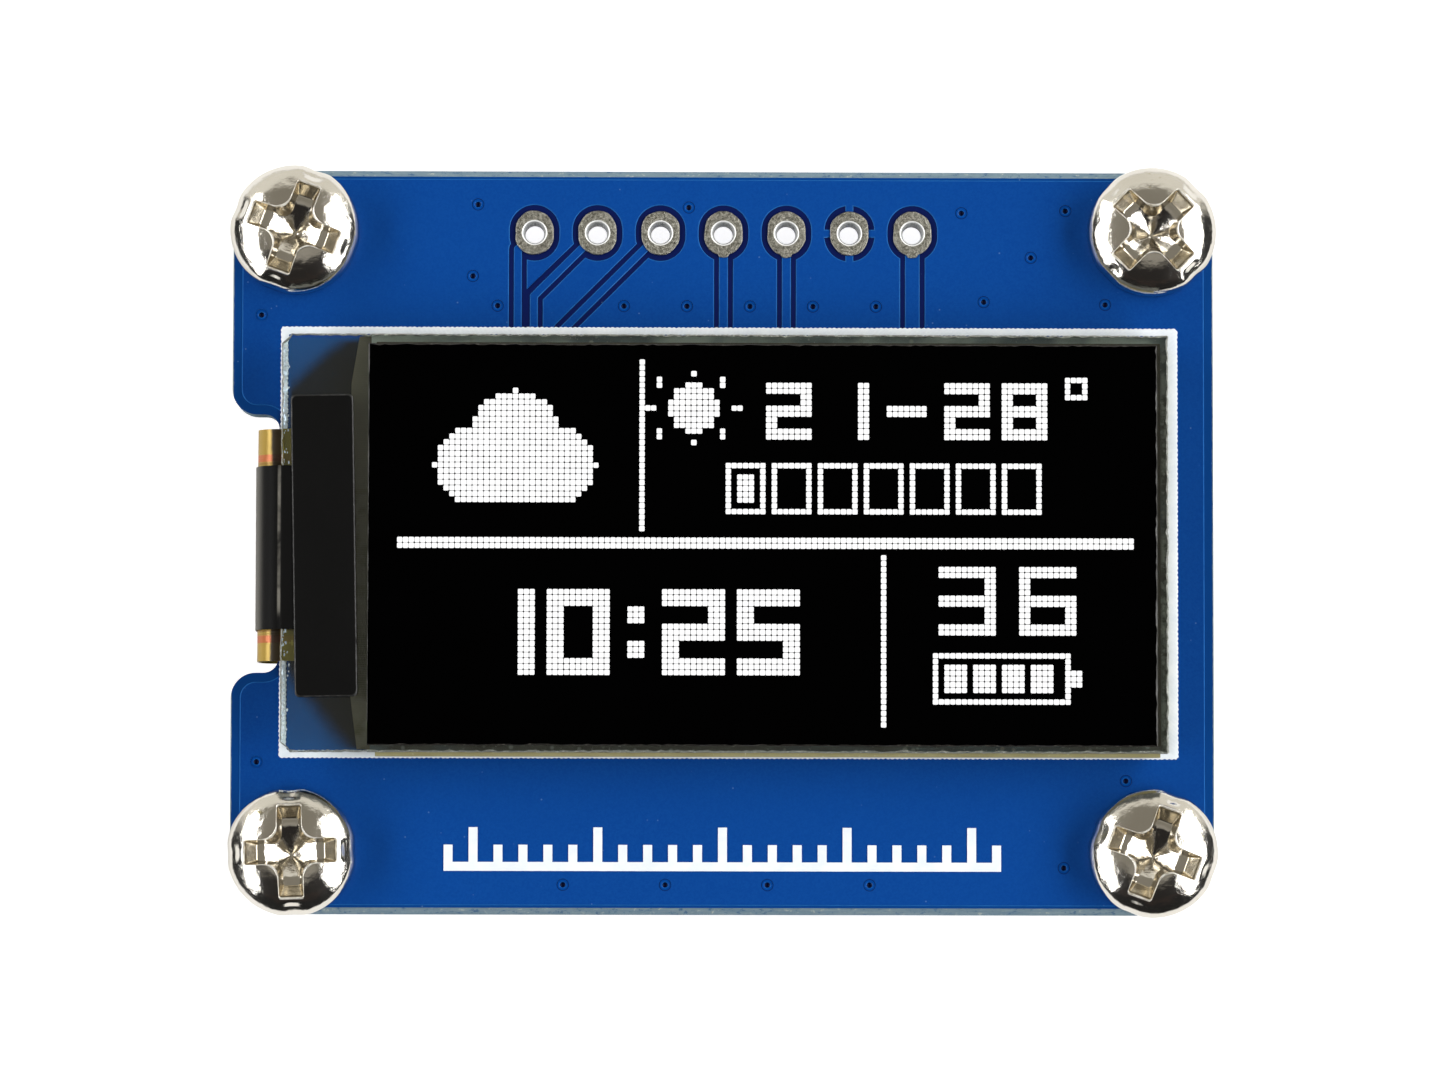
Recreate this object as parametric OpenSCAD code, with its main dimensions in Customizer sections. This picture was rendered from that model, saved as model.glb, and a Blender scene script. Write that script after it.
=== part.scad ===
// Small display module: a lit glass panel on a blue circuit board, on four screwed standoffs.
// X runs along the header row, Y towards it and Z towards the viewer, in millimetres.
// The origin is under the middle of the board, level with the feet of the standoffs.

/* [Circuit board] */
// Width of the board
board_w = 39.5; // [39:0.5:46]
// Depth of the board, with its broken scored edges
board_d = 30; // [29:0.5:36]
// Thickness of the board
board_t = 1.6; // [1.2:0.1:2.4]
// Distance of each screw from the two edges near it, and the radius of the board's corners
screw_inset = 2.5; // [2.4:0.1:3.2]
// Width of the notch for the flex tail
notch_w = 10.4; // [10:0.1:13]
// Depth of the notch
notch_deep = 1.9; // [1.7:0.1:2.4]
// Radius at the mouth of the notch
notch_mouth_r = 1; // [0.6:0.1:1.2]
// Radius in the corners of the notch
notch_inner_r = 0.6; // [0.3:0.1:0.7]
// How far a scored edge slopes in
score_in = 0.28; // [0.1:0.02:0.34]
// How deep each score cuts
score_deep = 0.5; // [0.2:0.05:0.55]
// Thickness of the copper
copper_t = 0.035; // [0.02:0.005:0.07]
// Bare margin round the copper
copper_inset = 0.4; // [0.36:0.02:0.56]
// Gap between separate pieces of copper
copper_gap = 0.26; // [0.15:0.01:0.35]
// Diameter of a via's hole
via_d = 0.25; // [0.2:0.05:0.4]

/* [Header] */
// Number of header holes
header_count = 7; // [7:1:8]
// Distance between header holes
header_pitch = 2.54; // [2.2:0.02:2.6]
// Distance of the header row from the board's top edge
header_inset = 2.54; // [2.2:0.02:2.8]
// Diameter of a header hole
header_hole_d = 1; // [0.8:0.05:1.1]
// Width of a header land
land_w = 1.55; // [1.4:0.05:1.6]
// Length of a header land
land_l = 1.8; // [1.7:0.05:2]
// How far a land's solder stands above the board
land_rise = 0.06; // [0.02:0.01:0.15]

/* [Display panel] */
// Width of the front glass
glass_w = 35.5; // [34.5:0.1:36]
// Depth of the front glass
glass_d = 16.75; // [16.5:0.05:18]
// Thickness of the front glass
front_glass_t = 0.65; // [0.4:0.05:1.1]
// Thickness of the rear glass
rear_glass_t = 0.6; // [0.5:0.05:1]
// Thickness of the seal between the glasses
seal_t = 0.05; // [0.04:0.01:0.1]
// Thickness of the adhesive pad
pad_t = 0.4; // [0.2:0.05:1]
// Thickness of the polariser
polariser_t = 0.2; // [0.1:0.05:0.3]
// Bare ledge of the front glass at the left
ledge_w = 3.48; // [3.4:0.02:3.8]
// Bare rim of the front glass at the right
rim_right = 0.46; // [0.3:0.02:0.6]
// Bare rim of the front glass at the top
rim_top = 0.4; // [0.2:0.02:0.6]
// Bare rim of the front glass at the bottom
rim_bottom = 0.26; // [0.2:0.02:0.6]
// Corner cut of the ledge
ledge_corner = 0.4; // [0.1:0.05:0.6]
// How far the rear glass stays inside the front glass
rear_inset = 0.3; // [0.2:0.05:0.5]
// How far the rear glass shows below the front glass
rear_below = 0.14; // [0:0.02:0.2]
// Width of the seal's line
seal_w = 0.6; // [0.4:0.05:0.8]
// Width of one picture cell
cell_w = 0.23; // [0.2:0.005:0.23]
// Distance of the picture from the glass's right edge
picture_inset = 1.4; // [1:0.05:1.6]

/* [Flex tail and tape] */
// Width of the flex tail
flex_w = 9.3; // [8.6:0.1:9.6]
// Thickness of the flex tail
flex_t = 0.12; // [0.08:0.01:0.16]
// How far the folded tail stands out of the notch's floor
fold_out = 0.85; // [0.7:0.05:0.95]
// Radius of the tail's upper bend
fold_r = 0.9; // [0.7:0.05:1]
// Width of the tail's bond under the ledge
bond_w = 1.1; // [0.9:0.05:1.2]
// How far the tail reaches in behind the board
tail_reach = 5.6; // [4.5:0.1:6]
// Number of soldered joints at the tail's end
joint_count = 20; // [16:1:21]
// Distance between soldered joints
joint_pitch = 0.42; // [0.38:0.01:0.43]
// Width of a soldered joint
joint_w = 0.24; // [0.16:0.02:0.3]
// Length of a soldered joint
joint_l = 1; // [0.6:0.1:1.4]
// Thickness of the light shield tape
tape_t = 0.1; // [0.05:0.01:0.18]
// Width of the tape's head
tape_head_w = 2.5; // [2.2:0.05:2.7]
// Length of the tape's head
tape_head_l = 12.1; // [10:0.1:13.5]
// Width of the tape's stem
tape_stem_w = 6.55; // [5:0.05:8]

/* [Screws and standoffs] */
// Diameter of a screw's head
head_d = 5.2; // [5:0.05:5.6]
// Height of a screw's head
head_h = 2; // [1.8:0.1:2.4]
// Diameter where the head's skirt ends
skirt_d = 4.72; // [4.5:0.02:4.9]
// Height of the head's skirt
skirt_h = 0.9; // [0.7:0.05:1.1]
// Length of a screw below its head
screw_l = 5; // [4:0.5:6]
// Width of the cross recess from tip to tip
recess_w = 3.66; // [3.2:0.02:3.8]
// Depth of the cross recess
recess_deep = 1.6; // [1.4:0.05:1.75]
// Width of a wing of the cross
wing_w = 0.8; // [0.6:0.05:0.95]
// Height of the standoffs
standoff_h = 6; // [5:0.5:12]
// Width of a standoff across its flats
standoff_w = 4.5; // [4.3:0.1:5]
// Outer diameter of the screw thread
thread_d = 3; // [2.9:0.02:3.1]
// Diameter of the tapped hole below the screw
tapped_d = 2.5; // [2.4:0.02:2.56]
// Diameter of the board's screw holes
screw_hole_d = 3.2; // [3.05:0.05:3.6]

/* [Hidden] */
$fn = 48;

// Small clearance between pieces that fit into each other
fit = 0.02;
// How far a cut runs past the face that it opens
over = 1;
// Thickness of printed ink
ink_t = 0.03;
// Thickness of the plating and solder in a header hole
plating_t = 0.14;

board_top = standoff_h + board_t;
half_w = board_w / 2;
half_d = board_d / 2;
screw_at = [half_w - screw_inset, half_d - screw_inset];

// The notch lies a little below the middle
notch_y = -0.12;
notch_floor_x = -half_w + notch_deep;

header_y = half_d - header_inset;
function header_x(i) = (i - (header_count + 1) / 2) * header_pitch;

// The panel starts just inside the notch's floor, so that its tail can fold down through the notch
panel_gap = 0.16;
panel_at = [notch_floor_x + panel_gap + glass_w / 2, notch_y - 0.05];
// The printed frame goes round the panel, which was stuck down a little off the frame's middle
frame_at = panel_at + [0.19, 0.12];
frame_gap = 0.32;
frame_line = 0.3;
frame_size = [glass_w, glass_d] + [2, 2] * frame_gap;
frame_top = frame_at.y + frame_size.y / 2;

// Levels of the panel's layers
rear_z = board_top + pad_t;
seal_z = rear_z + rear_glass_t;
front_z = seal_z + seal_t;
ledge_z = front_z + front_glass_t;
film_z = ledge_z + polariser_t;

// Plan of the panel's layers, as lowest and highest corners
glass_lo = panel_at - [glass_w, glass_d] / 2;
glass_hi = panel_at + [glass_w, glass_d] / 2;
film_lo = glass_lo + [ledge_w, rim_bottom];
film_hi = glass_hi - [rim_right, rim_top];
rear_lo = [film_lo.x + rear_inset, glass_lo.y - rear_below];
rear_hi = glass_hi - [1, 1] * rear_inset;
pad_lo = [rear_lo.x, glass_lo.y + rear_inset];
seal_lo = pad_lo + [1, 1] * seal_w;
seal_hi = rear_hi - [1, 1] * seal_w;

// The picture is a grid of square cells
cells = [128, 64];
cell_gap = 0.02;
picture_t = 0.02;
picture_size = cells * cell_w;
picture_lo = [glass_hi.x - picture_inset - picture_size.x, panel_at.y - picture_size.y / 2];
// Margin and thickness of the light-giving film behind the picture
film_margin = 0.1;
film_t = 0.03;

// The flex tail leaves the ledge, folds down through the notch and turns in under the board
flex_y = -0.24;
flex_top_z = front_z - flex_t / 2;
flex_low_z = standoff_h - flex_t / 2;
flex_out_x = notch_floor_x - fold_out + flex_t / 2;
fold_gap = 0.05;
fold_low_r = notch_floor_x - fold_gap - flex_out_x;
fold_top = [flex_out_x + fold_r, flex_top_z - fold_r];
fold_low = [flex_out_x + fold_low_r, flex_low_z + fold_low_r];
tail_end_x = notch_floor_x + tail_reach;
joint_h = 0.2;

// The tape lies on the ledge, bends over the glass's edge and runs down the outside of the fold
tape_y = -0.37;
tape_head_at = [glass_lo.x + 1.74, tape_y + 0.07];
tape_turn = 1.1;
tape_corner_r = 0.2;

// The driver chip hangs under the ledge, between the tail's bond and the rear glass
chip_size = [1.2, 11.4, 0.35];
chip_gap = 0.25;

// Bends are drawn in this many straight steps
bend_steps = 12;

// The four corners, and how far each screw's cross is turned
CORNERS = ["top_left", "top_right", "bottom_left", "bottom_right"];
corner_signs = [[-1, 1], [1, 1], [-1, -1], [1, -1]];
cross_turns = [-20, 45, 2, -20];
// Tip to tip width of the cross at its floor, and how much deeper its middle is than its wings
wing_floor_w = 2.7;
wing_drop = 0.35;
// Radius of the middle of the cross, at the top and at the bottom
pit_r = [1.02, 0.42];
crown_h = head_h - skirt_h;
crown_r = (pow(skirt_d / 2, 2) + pow(crown_h, 2)) / (2 * crown_h);
screw_tip = 0.3;
tip_gap = 0.2;
standoff_edge = 0.3;

// The first three tracks turn off to the left, into lanes for the first two; the rest run straight down
track_w = 0.26;
lane_x = [header_x(1) - 0.67, header_x(1) - 0.02];
straight_tracks = [[4, 0.3], [5, 0.3], [7, 0.53]];
spoked_land = 6;
track_end_y = frame_top - frame_line / 2;

// Vias: a row under the header, a row near the bottom edge, and loose ones
row_vias = [for (i = [-2:2]) [(i + 0.5) * header_pitch - 0.2, header_y - 2.96]];
low_vias = [for (i = [0:3]) [4.1 * i - 6.4, 1.2 - half_d]];
loose_vias = [
    [-9.9, 13.6], [-10.1, 10.7], [-9.1, 9.5], [-18.6, 9.1], [-18.7, -8.9], [9.6, 13.3], [13.8, 13.4],
    [12.4, 11.5], [10.5, 9.7], [15.4, 9.6], [16.2, -9.6], [13.7, -13.1], [-1.4, 13.5],
];
vias = concat(row_vias, low_vias, loose_vias);
via_deep = 0.12;
via_ring = 0.12;

// Small parts on the back: their places on the board and their sizes
capacitor_at = [[-7.6, 5.6], [-7.6, 2.8], [-7.6, 0], [-7.6, -2.8], [-7.6, -5.6], [1.2, -7.6], [8.8, -7.6]];
capacitor_size = [2, 1.25, 0.9];
resistor_at = [[-3.6, 4.2], [-3.6, 1.4], [-3.6, -1.4], [-3.6, -4.2]];
resistor_size = [1.6, 0.8, 0.45];
// Length of a small part's end cap, and how far it stands proud
end_cap_l = 0.35;
end_cap_rise = 0.03;
regulator_at = [5, -7.6];
regulator_size = [2.9, 1.6, 1.1];
lead_size = [0.4, 0.6, 0.15];
lead_pitch = 0.95;
// Printed box round each small part
part_gap = 0.4;
part_line = 0.15;

// The scale printed under the display
scale_at = [0, 1.75 - half_d];
scale_ticks = 23;
tick_pitch = 1;
tick_w = 0.36;
tick_l = 1.05;
long_tick_l = 1.75;
long_tick_every = 5;

// ---- Shared shapes ----

// Box over a rectangle, from one level up to another
module layer(lo, hi, z0, z1) {
    translate([lo.x, lo.y, z0]) cube([hi.x - lo.x, hi.y - lo.y, z1 - z0]);
}

// Upright oval with round ends
module oval(w, l) {
    for (s = [-1, 1]) translate([0, s * (l - w) / 2]) circle(d = w);
    square([w, l - w], center = true);
}

// Straight strip between two points, with round ends
module strip(a, b, w) {
    for (p = [a, b]) translate(p) circle(d = w);
    translate(a) rotate(atan2(b.y - a.y, b.x - a.x)) translate([0, -w / 2]) square([norm(b - a), w]);
}

// Rectangle with round corners
module rounded(size, r) {
    square(size - [2 * r, 0], center = true);
    square(size - [0, 2 * r], center = true);
    for (sx = [-1, 1], sy = [-1, 1]) translate([sx * (size.x / 2 - r), sy * (size.y / 2 - r)]) circle(r);
}

// Line drawn round a rectangle, inside its edges
module line_box(size, line) {
    difference() {
        square(size, center = true);
        square(size - [2, 2] * line, center = true);
    }
}

// Points on an arc, from one angle to another
function arc(c, r, a0, a1) = [for (i = [0:bend_steps]) c + r * arc_way(a0 + (a1 - a0) * i / bend_steps)];
function arc_way(a) = [cos(a), sin(a)];

// Points of a path moved to its right-hand side, with mitred bends
function unit(v) = v / norm(v);
function way(path, i) = unit(path[i + 1] - path[i]);
function right_of(path, i) = [way(path, i).y, -way(path, i).x];
function moved(path, d) = [
    for (i = [0:len(path) - 1])
        let (
            before = right_of(path, max(i - 1, 0)),
            after = right_of(path, min(i, len(path) - 2)),
            middle = unit(before + after)
        )
        path[i] + middle * d / (middle * before)
];

function backwards(list) = [for (i = [len(list) - 1:-1:0]) list[i]];

// Band of even thickness along a path in X and Z, w wide along Y
module band(path, d0, d1, w) {
    rotate([90, 0, 0])
        linear_extrude(w, center = true)
            polygon(concat(moved(path, d0), backwards(moved(path, d1))));
}

// ---- Circuit board ----

// The notch, grown by a margin
module notch(margin) {
    mouth_x = -half_w + margin;
    floor_x = notch_floor_x + margin;
    half = notch_w / 2 + margin;
    inner_r = notch_inner_r + margin;
    mouth_r = notch_mouth_r - margin;
    translate([mouth_x - over, notch_y - half]) square([floor_x - inner_r - mouth_x + over, 2 * half]);
    translate([mouth_x, notch_y - half + inner_r]) square([floor_x - mouth_x, 2 * (half - inner_r)]);
    for (s = [-1, 1]) {
        translate([floor_x - inner_r, notch_y + s * (half - inner_r)]) circle(inner_r);
        translate([mouth_x + mouth_r, notch_y + s * (half + mouth_r)])
            difference() {
                translate([-mouth_r - over, s > 0 ? -mouth_r : 0]) square([mouth_r + over, mouth_r]);
                circle(mouth_r);
            }
    }
}

// Plan of the board, or of its copper where a margin is left
module board_plan(margin) {
    difference() {
        rounded([board_w, board_d] - [2, 2] * margin, screw_inset - margin);
        notch(margin);
    }
}

// Section across the board's scored edges, without the copper
scored_edge = [
    [half_d - score_in, copper_t], [half_d, score_deep],
    [half_d, board_t - score_deep], [half_d - score_in, board_t - copper_t],
];
module scored_section() {
    polygon(concat(scored_edge, backwards([for (p = scored_edge) [-p.x, p.y]])));
}

module board_core() {
    intersection() {
        linear_extrude(board_t) board_plan(0);
        rotate([90, 0, 90]) linear_extrude(board_w + over, center = true) scored_section();
    }
}

module land_plans(margin) {
    for (i = [1:header_count])
        translate([header_x(i), header_y]) oval(land_w + 2 * margin, land_l + 2 * margin);
}

// Tracks from the header, widened by a margin on each side
module tracks(margin) {
    for (i = [1:2]) {
        turn = [lane_x[i - 1], header_y - header_x(i) + lane_x[i - 1]];
        strip([header_x(i), header_y], turn, track_w + 2 * margin);
        strip(turn, [turn.x, track_end_y], track_w + 2 * margin);
    }
    strip([header_x(3), header_y], [header_x(3) - header_y + track_end_y, track_end_y], track_w + 2 * margin);
    for (t = straight_tracks)
        strip([header_x(t[0]), header_y], [header_x(t[0]), track_end_y], t[1] + 2 * margin);
}

// Four spokes that join one land to the copper round it
module spokes() {
    reach = land_l / 2 + copper_gap + track_w / 2;
    translate([header_x(spoked_land), header_y])
        for (d = [[reach, 0], [0, reach]]) strip(-d, d, track_w);
}

module front_copper() {
    difference() {
        board_plan(copper_inset);
        land_plans(copper_gap);
        tracks(copper_gap);
    }
    difference() {
        union() {
            tracks(0);
            spokes();
        }
        land_plans(0);
    }
}

module back_copper() {
    difference() {
        board_plan(copper_inset);
        land_plans(copper_gap);
    }
}

module circuit_board() {
    color("#0b4a9b")
        translate([0, 0, standoff_h])
            difference() {
                union() {
                    board_core();
                    linear_extrude(copper_t) back_copper();
                    translate([0, 0, board_t - copper_t]) linear_extrude(copper_t) front_copper();
                }
                for (i = [1:header_count])
                    translate([header_x(i), header_y, -over])
                        cylinder(d = header_hole_d + 2 * (plating_t + fit), h = board_t + 2 * over);
                for (s = corner_signs)
                    translate([s.x * screw_at.x, s.y * screw_at.y, -over])
                        cylinder(d = screw_hole_d, h = board_t + 2 * over);
                for (p = vias) {
                    translate([p.x, p.y, board_t - via_deep]) cylinder(d = via_d, h = over);
                    translate([p.x, p.y, via_deep - over]) cylinder(d = via_d, h = over);
                    translate([p.x, p.y, board_t - copper_t / 2])
                        cylinder(d = via_d + 2 * via_ring, h = over);
                }
            }
}

// Plated hole with an oval land on each face
module header_land(i) {
    color("#c9c9c4")
        translate([header_x(i), header_y, 0])
            difference() {
                union() {
                    translate([0, 0, standoff_h - land_rise])
                        linear_extrude(land_rise + copper_t) oval(land_w, land_l);
                    translate([0, 0, board_top - copper_t])
                        linear_extrude(land_rise + copper_t) oval(land_w, land_l);
                    translate([0, 0, standoff_h]) cylinder(d = header_hole_d + 2 * plating_t, h = board_t);
                }
                translate([0, 0, standoff_h - over]) cylinder(d = header_hole_d, h = board_t + 2 * over);
            }
}

module display_frame_print() {
    color("white")
        translate([frame_at.x, frame_at.y, board_top]) linear_extrude(ink_t) line_box(frame_size, frame_line);
}

module scale_print() {
    middle = (scale_ticks - 1) / 2;
    color("white")
        translate([scale_at.x, scale_at.y, board_top])
            linear_extrude(ink_t) {
                translate([-middle * tick_pitch - tick_w / 2, 0])
                    square([2 * middle * tick_pitch + tick_w, tick_w]);
                for (i = [-middle:middle])
                    translate([i * tick_pitch - tick_w / 2, 0])
                        square([tick_w, i % long_tick_every == 0 ? long_tick_l : tick_l]);
            }
}

module part_box(at, size) {
    translate([at.x, at.y, standoff_h - ink_t])
        linear_extrude(ink_t) line_box([size.x, size.y] + [2, 2] * (part_gap + part_line), part_line);
}

module back_print() {
    color("white") {
        for (p = capacitor_at) part_box(p, capacitor_size);
        for (p = resistor_at) part_box(p, resistor_size);
    }
}

// ---- Display panel ----

module adhesive_pad() {
    color("#d8d4c4") layer(pad_lo, rear_hi, board_top, rear_z);
}

module rear_glass() {
    color("#8a8f78") layer(rear_lo, rear_hi, rear_z, seal_z);
}

module edge_seal() {
    color("#5d5546")
        difference() {
            layer(pad_lo, rear_hi, seal_z, front_z);
            layer(seal_lo, seal_hi, seal_z - over, front_z + over);
        }
}

// Thin light-giving film on the inner face of the front glass
module emitter_film() {
    margin = [1, 1] * film_margin;
    color("#23201c")
        layer(picture_lo - margin, picture_lo + picture_size + margin, front_z - film_t, front_z);
}

module front_glass() {
    c = ledge_corner;
    color("#a9b7b4", 0.5)
        translate([0, 0, front_z])
            linear_extrude(front_glass_t)
                polygon([
                    [glass_lo.x + c, glass_lo.y], [glass_hi.x, glass_lo.y], [glass_hi.x, glass_hi.y],
                    [glass_lo.x + c, glass_hi.y], [glass_lo.x, glass_hi.y - c], [glass_lo.x, glass_lo.y + c],
                ]);
}

module polariser() {
    color("#050505") layer(film_lo, film_hi, ledge_z, film_z);
}

// ---- Picture: a home screen of plain figures, counted in cells from its top left ----

// Segments of each figure, in the order top, upper right, lower right, bottom, lower left, upper left, middle
FIGURES = [
    [0, 1, 2, 3, 4, 5], [1, 2], [0, 1, 6, 4, 3], [0, 1, 6, 2, 3], [5, 6, 1, 2],
    [0, 5, 6, 2, 3], [0, 5, 6, 2, 3, 4], [0, 1, 2], [0, 1, 2, 3, 4, 5, 6], [0, 1, 2, 3, 5, 6],
];

// Filled rectangle of w by h cells
module lit(col, row, w, h) {
    translate([col, -row - h] * cell_w) square([w, h] * cell_w - [1, 1] * cell_gap);
}

// Line drawn round a rectangle of cells
module lit_box(col, row, w, h, line) {
    difference() {
        lit(col, row, w, h);
        lit(col + line, row + line, w - 2 * line, h - 2 * line);
    }
}

// Figure of straight segments, line cells thick
module figure(n, col, row, w, h, line) {
    half = floor((h - line) / 2);
    boxes = [
        [0, 0, w, line], [w - line, 0, line, half + line], [w - line, half, line, h - half],
        [0, h - line, w, line], [0, half, line, h - half], [0, 0, line, half + line], [0, half, w, line],
    ];
    for (s = FIGURES[n]) lit(col + boxes[s][0], row + boxes[s][1], boxes[s][2], boxes[s][3]);
}

module disc(col, row, r) {
    translate([col, -row] * cell_w) circle(r * cell_w);
}

module sun() {
    at = [51.5, 8.5];
    disc(at.x, at.y, 4.4);
    for (s = [-1, 1]) {
        lit(at.x + s * 7.5 - 1, at.y - 0.5, 2, 1);
        lit(at.x - 0.5, at.y + s * 6 - 0.5, 1, 1);
        for (t = [-1, 1]) lit(at.x + s * 5.5 - 0.5, at.y + t * 4.5 - 1, 1, 2);
    }
}

module cloud() {
    disc(13, 18.5, 6.5);
    disc(20.5, 13.5, 8);
    disc(28, 18.5, 6.5);
    lit(13, 17, 15, 8);
}

module picture_shapes() {
    lit(0, 31, cells.x, 2);
    lit(42, 0, 1, 30);
    lit(84, 34, 1, 30);
    cloud();
    sun();
    // Two temperatures with a dash between them, and a small ring
    for (f = [[2, 64], [1, 74], [2, 95], [8, 105]]) figure(f[0], f[1], 4, 8, 10, 2);
    lit(85, 8, 7, 2);
    lit_box(116, 3, 4, 4, 1);
    // Seven boxes, one of them filled
    for (i = [0:6]) lit_box(57 + 8 * i, 18, 7, 9, 1);
    lit(59, 20, 3, 5);
    // Clock
    for (f = [[1, 13], [0, 26], [2, 46], [5, 59]]) figure(f[0], f[1], 40, 11, 15, 3);
    for (row = [43, 49]) lit(40, row, 3, 3);
    // Two figures over a filled bar
    for (f = [[3, 94], [6, 108]]) figure(f[0], f[1], 36, 10, 12, 2);
    lit_box(93, 51, 24, 9, 1);
    lit(117, 54, 2, 3);
    for (i = [0:3]) lit(95 + 5 * i, 53, 4, 5);
}

module lit_picture() {
    color("white")
        translate([picture_lo.x, picture_lo.y + picture_size.y, film_z])
            linear_extrude(picture_t) picture_shapes();
}

// ---- Driver, flex tail and tape ----

module driver_chip() {
    lo = [glass_lo.x + bond_w + chip_gap, tape_head_at.y - chip_size.y / 2];
    color("#3a3d42") layer(lo, lo + [chip_size.x, chip_size.y], front_z - chip_size.z, front_z);
}

// Middle of the tail, from its bond down round the fold to its end
flex_path = concat(
    [[glass_lo.x + bond_w, flex_top_z]],
    arc(fold_top, fold_r, 90, 180),
    arc(fold_low, fold_low_r, 180, 270),
    [[tail_end_x, flex_low_z]]
);

module flex_tail() {
    color("#b9862e") translate([0, flex_y, 0]) band(flex_path, -flex_t / 2, flex_t / 2, flex_w);
}

module flex_joints() {
    color("#c9c9c4")
        for (i = [0:joint_count - 1])
            translate([tail_end_x, flex_y + (i - (joint_count - 1) / 2) * joint_pitch - joint_w / 2, 0])
                translate([0, 0, standoff_h - joint_h]) cube([joint_l, joint_w, joint_h]);
}

// Under face of the tape's stem: over the ledge's edge, straight to the fold and down its outside
fold_face_r = fold_r + flex_t / 2 + fit;
ledge_edge = [glass_lo.x, ledge_z];
edge_way = ledge_edge - fold_top;
touch_angle = atan2(edge_way.y, edge_way.x) + acos(fold_face_r / norm(edge_way));
stem_path = concat(
    [[tape_head_at.x, ledge_z], ledge_edge],
    arc(fold_top, fold_face_r, touch_angle, 180),
    [[flex_out_x - flex_t / 2 - fit, fold_low.y]]
);

module shield_tape() {
    color("#111111") {
        translate([tape_head_at.x, tape_head_at.y, ledge_z])
            rotate(tape_turn) linear_extrude(tape_t) rounded([tape_head_w, tape_head_l], tape_corner_r);
        translate([0, tape_y, 0]) band(stem_path, 0, tape_t, tape_stem_w);
    }
}

// ---- Screws and standoffs ----

// Half section of the head: a sloping skirt under a round crown
module head_section() {
    slope = (head_d - skirt_d) / 2 / skirt_h;
    intersection() {
        polygon([[0, 0], [head_d / 2, 0], [head_d / 2 - slope * head_h, head_h], [0, head_h]]);
        translate([0, head_h - crown_r]) circle(crown_r);
    }
}

// Cross recess, seen from the crown's middle: two crossing wings and a round pit
module cross_recess() {
    tip_z = sqrt(pow(crown_r, 2) - pow(recess_w / 2, 2)) - crown_r;
    floor_z = wing_drop - recess_deep;
    slope = (recess_w - wing_floor_w) / 2 / (tip_z - floor_z);
    top_x = recess_w / 2 + slope * (over - tip_z);
    for (a = [0, 90])
        rotate([90, 0, a])
            linear_extrude(wing_w, center = true)
                polygon([
                    [-top_x, over], [-wing_floor_w / 2, floor_z], [0, -recess_deep],
                    [wing_floor_w / 2, floor_z], [top_x, over],
                ]);
    translate([0, 0, floor_z]) cylinder(r1 = pit_r[1], r2 = pit_r[0], h = -floor_z);
}

module screw(k) {
    shank_d = thread_d - 2 * fit;
    color("#c8c6c0")
        translate([corner_signs[k].x * screw_at.x, corner_signs[k].y * screw_at.y, board_top])
            rotate(cross_turns[k]) {
                difference() {
                    rotate_extrude() head_section();
                    translate([0, 0, head_h]) cross_recess();
                }
                translate([0, 0, screw_tip - screw_l]) cylinder(d = shank_d, h = screw_l - screw_tip);
                translate([0, 0, -screw_l])
                    cylinder(d1 = shank_d - 2 * screw_tip, d2 = shank_d, h = screw_tip);
            }
}

// Hexagonal standoff: tapped through, wider where the screw's thread fills it
module standoff(k) {
    corner_r = standoff_w / 2 / cos(30);
    low_edge_z = standoff_edge / 2;
    top_edge_z = standoff_h - standoff_edge / 2;
    screw_end_z = board_top - screw_l - tip_gap;
    color("#bdbab2")
        translate([corner_signs[k].x * screw_at.x, corner_signs[k].y * screw_at.y, 0])
            difference() {
                intersection() {
                    cylinder(r = corner_r, h = standoff_h, $fn = 6);
                    rotate_extrude()
                        polygon([
                            [0, 0], [corner_r - standoff_edge, 0], [corner_r, low_edge_z],
                            [corner_r + over, low_edge_z], [corner_r + over, top_edge_z],
                            [corner_r, top_edge_z], [corner_r - standoff_edge, standoff_h], [0, standoff_h],
                        ]);
                }
                translate([0, 0, -over]) cylinder(d = tapped_d, h = screw_end_z + 2 * over);
                translate([0, 0, screw_end_z]) cylinder(d = thread_d, h = standoff_h);
            }
}

// ---- Small parts on the back ----

module chip_part(at, size) {
    cap = end_cap_l;
    translate([at.x, at.y, standoff_h]) {
        translate([-size.x / 2 + cap, -size.y / 2, -size.z]) cube([size.x - 2 * cap, size.y, size.z]);
        for (s = [-1, 1])
            translate([s * (size.x - cap) / 2, 0, -(size.z + end_cap_rise) / 2])
                cube([cap, size.y + 2 * end_cap_rise, size.z + end_cap_rise], center = true);
    }
}

module capacitor(i) {
    color("#b08a5a") chip_part(capacitor_at[i - 1], capacitor_size);
}

module resistor(i) {
    color("#222222") chip_part(resistor_at[i - 1], resistor_size);
}

module voltage_regulator() {
    size = regulator_size;
    color("#1c1c1e")
        translate([regulator_at.x - size.x / 2, regulator_at.y - size.y / 2, standoff_h - size.z]) cube(size);
}

// Three leads on one side and two on the other
module regulator_leads() {
    side = [for (i = [-1, 0, 1]) [i, 1], for (i = [-1, 1]) [i, -1]];
    color("#c9c9c4")
        for (p = side)
            translate([
                regulator_at.x + p[0] * lead_pitch - lead_size.x / 2,
                regulator_at.y + p[1] * (regulator_size.y + lead_size.y) / 2 - lead_size.y / 2,
                standoff_h - lead_size.z,
            ])
                cube(lead_size);
}

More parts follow.
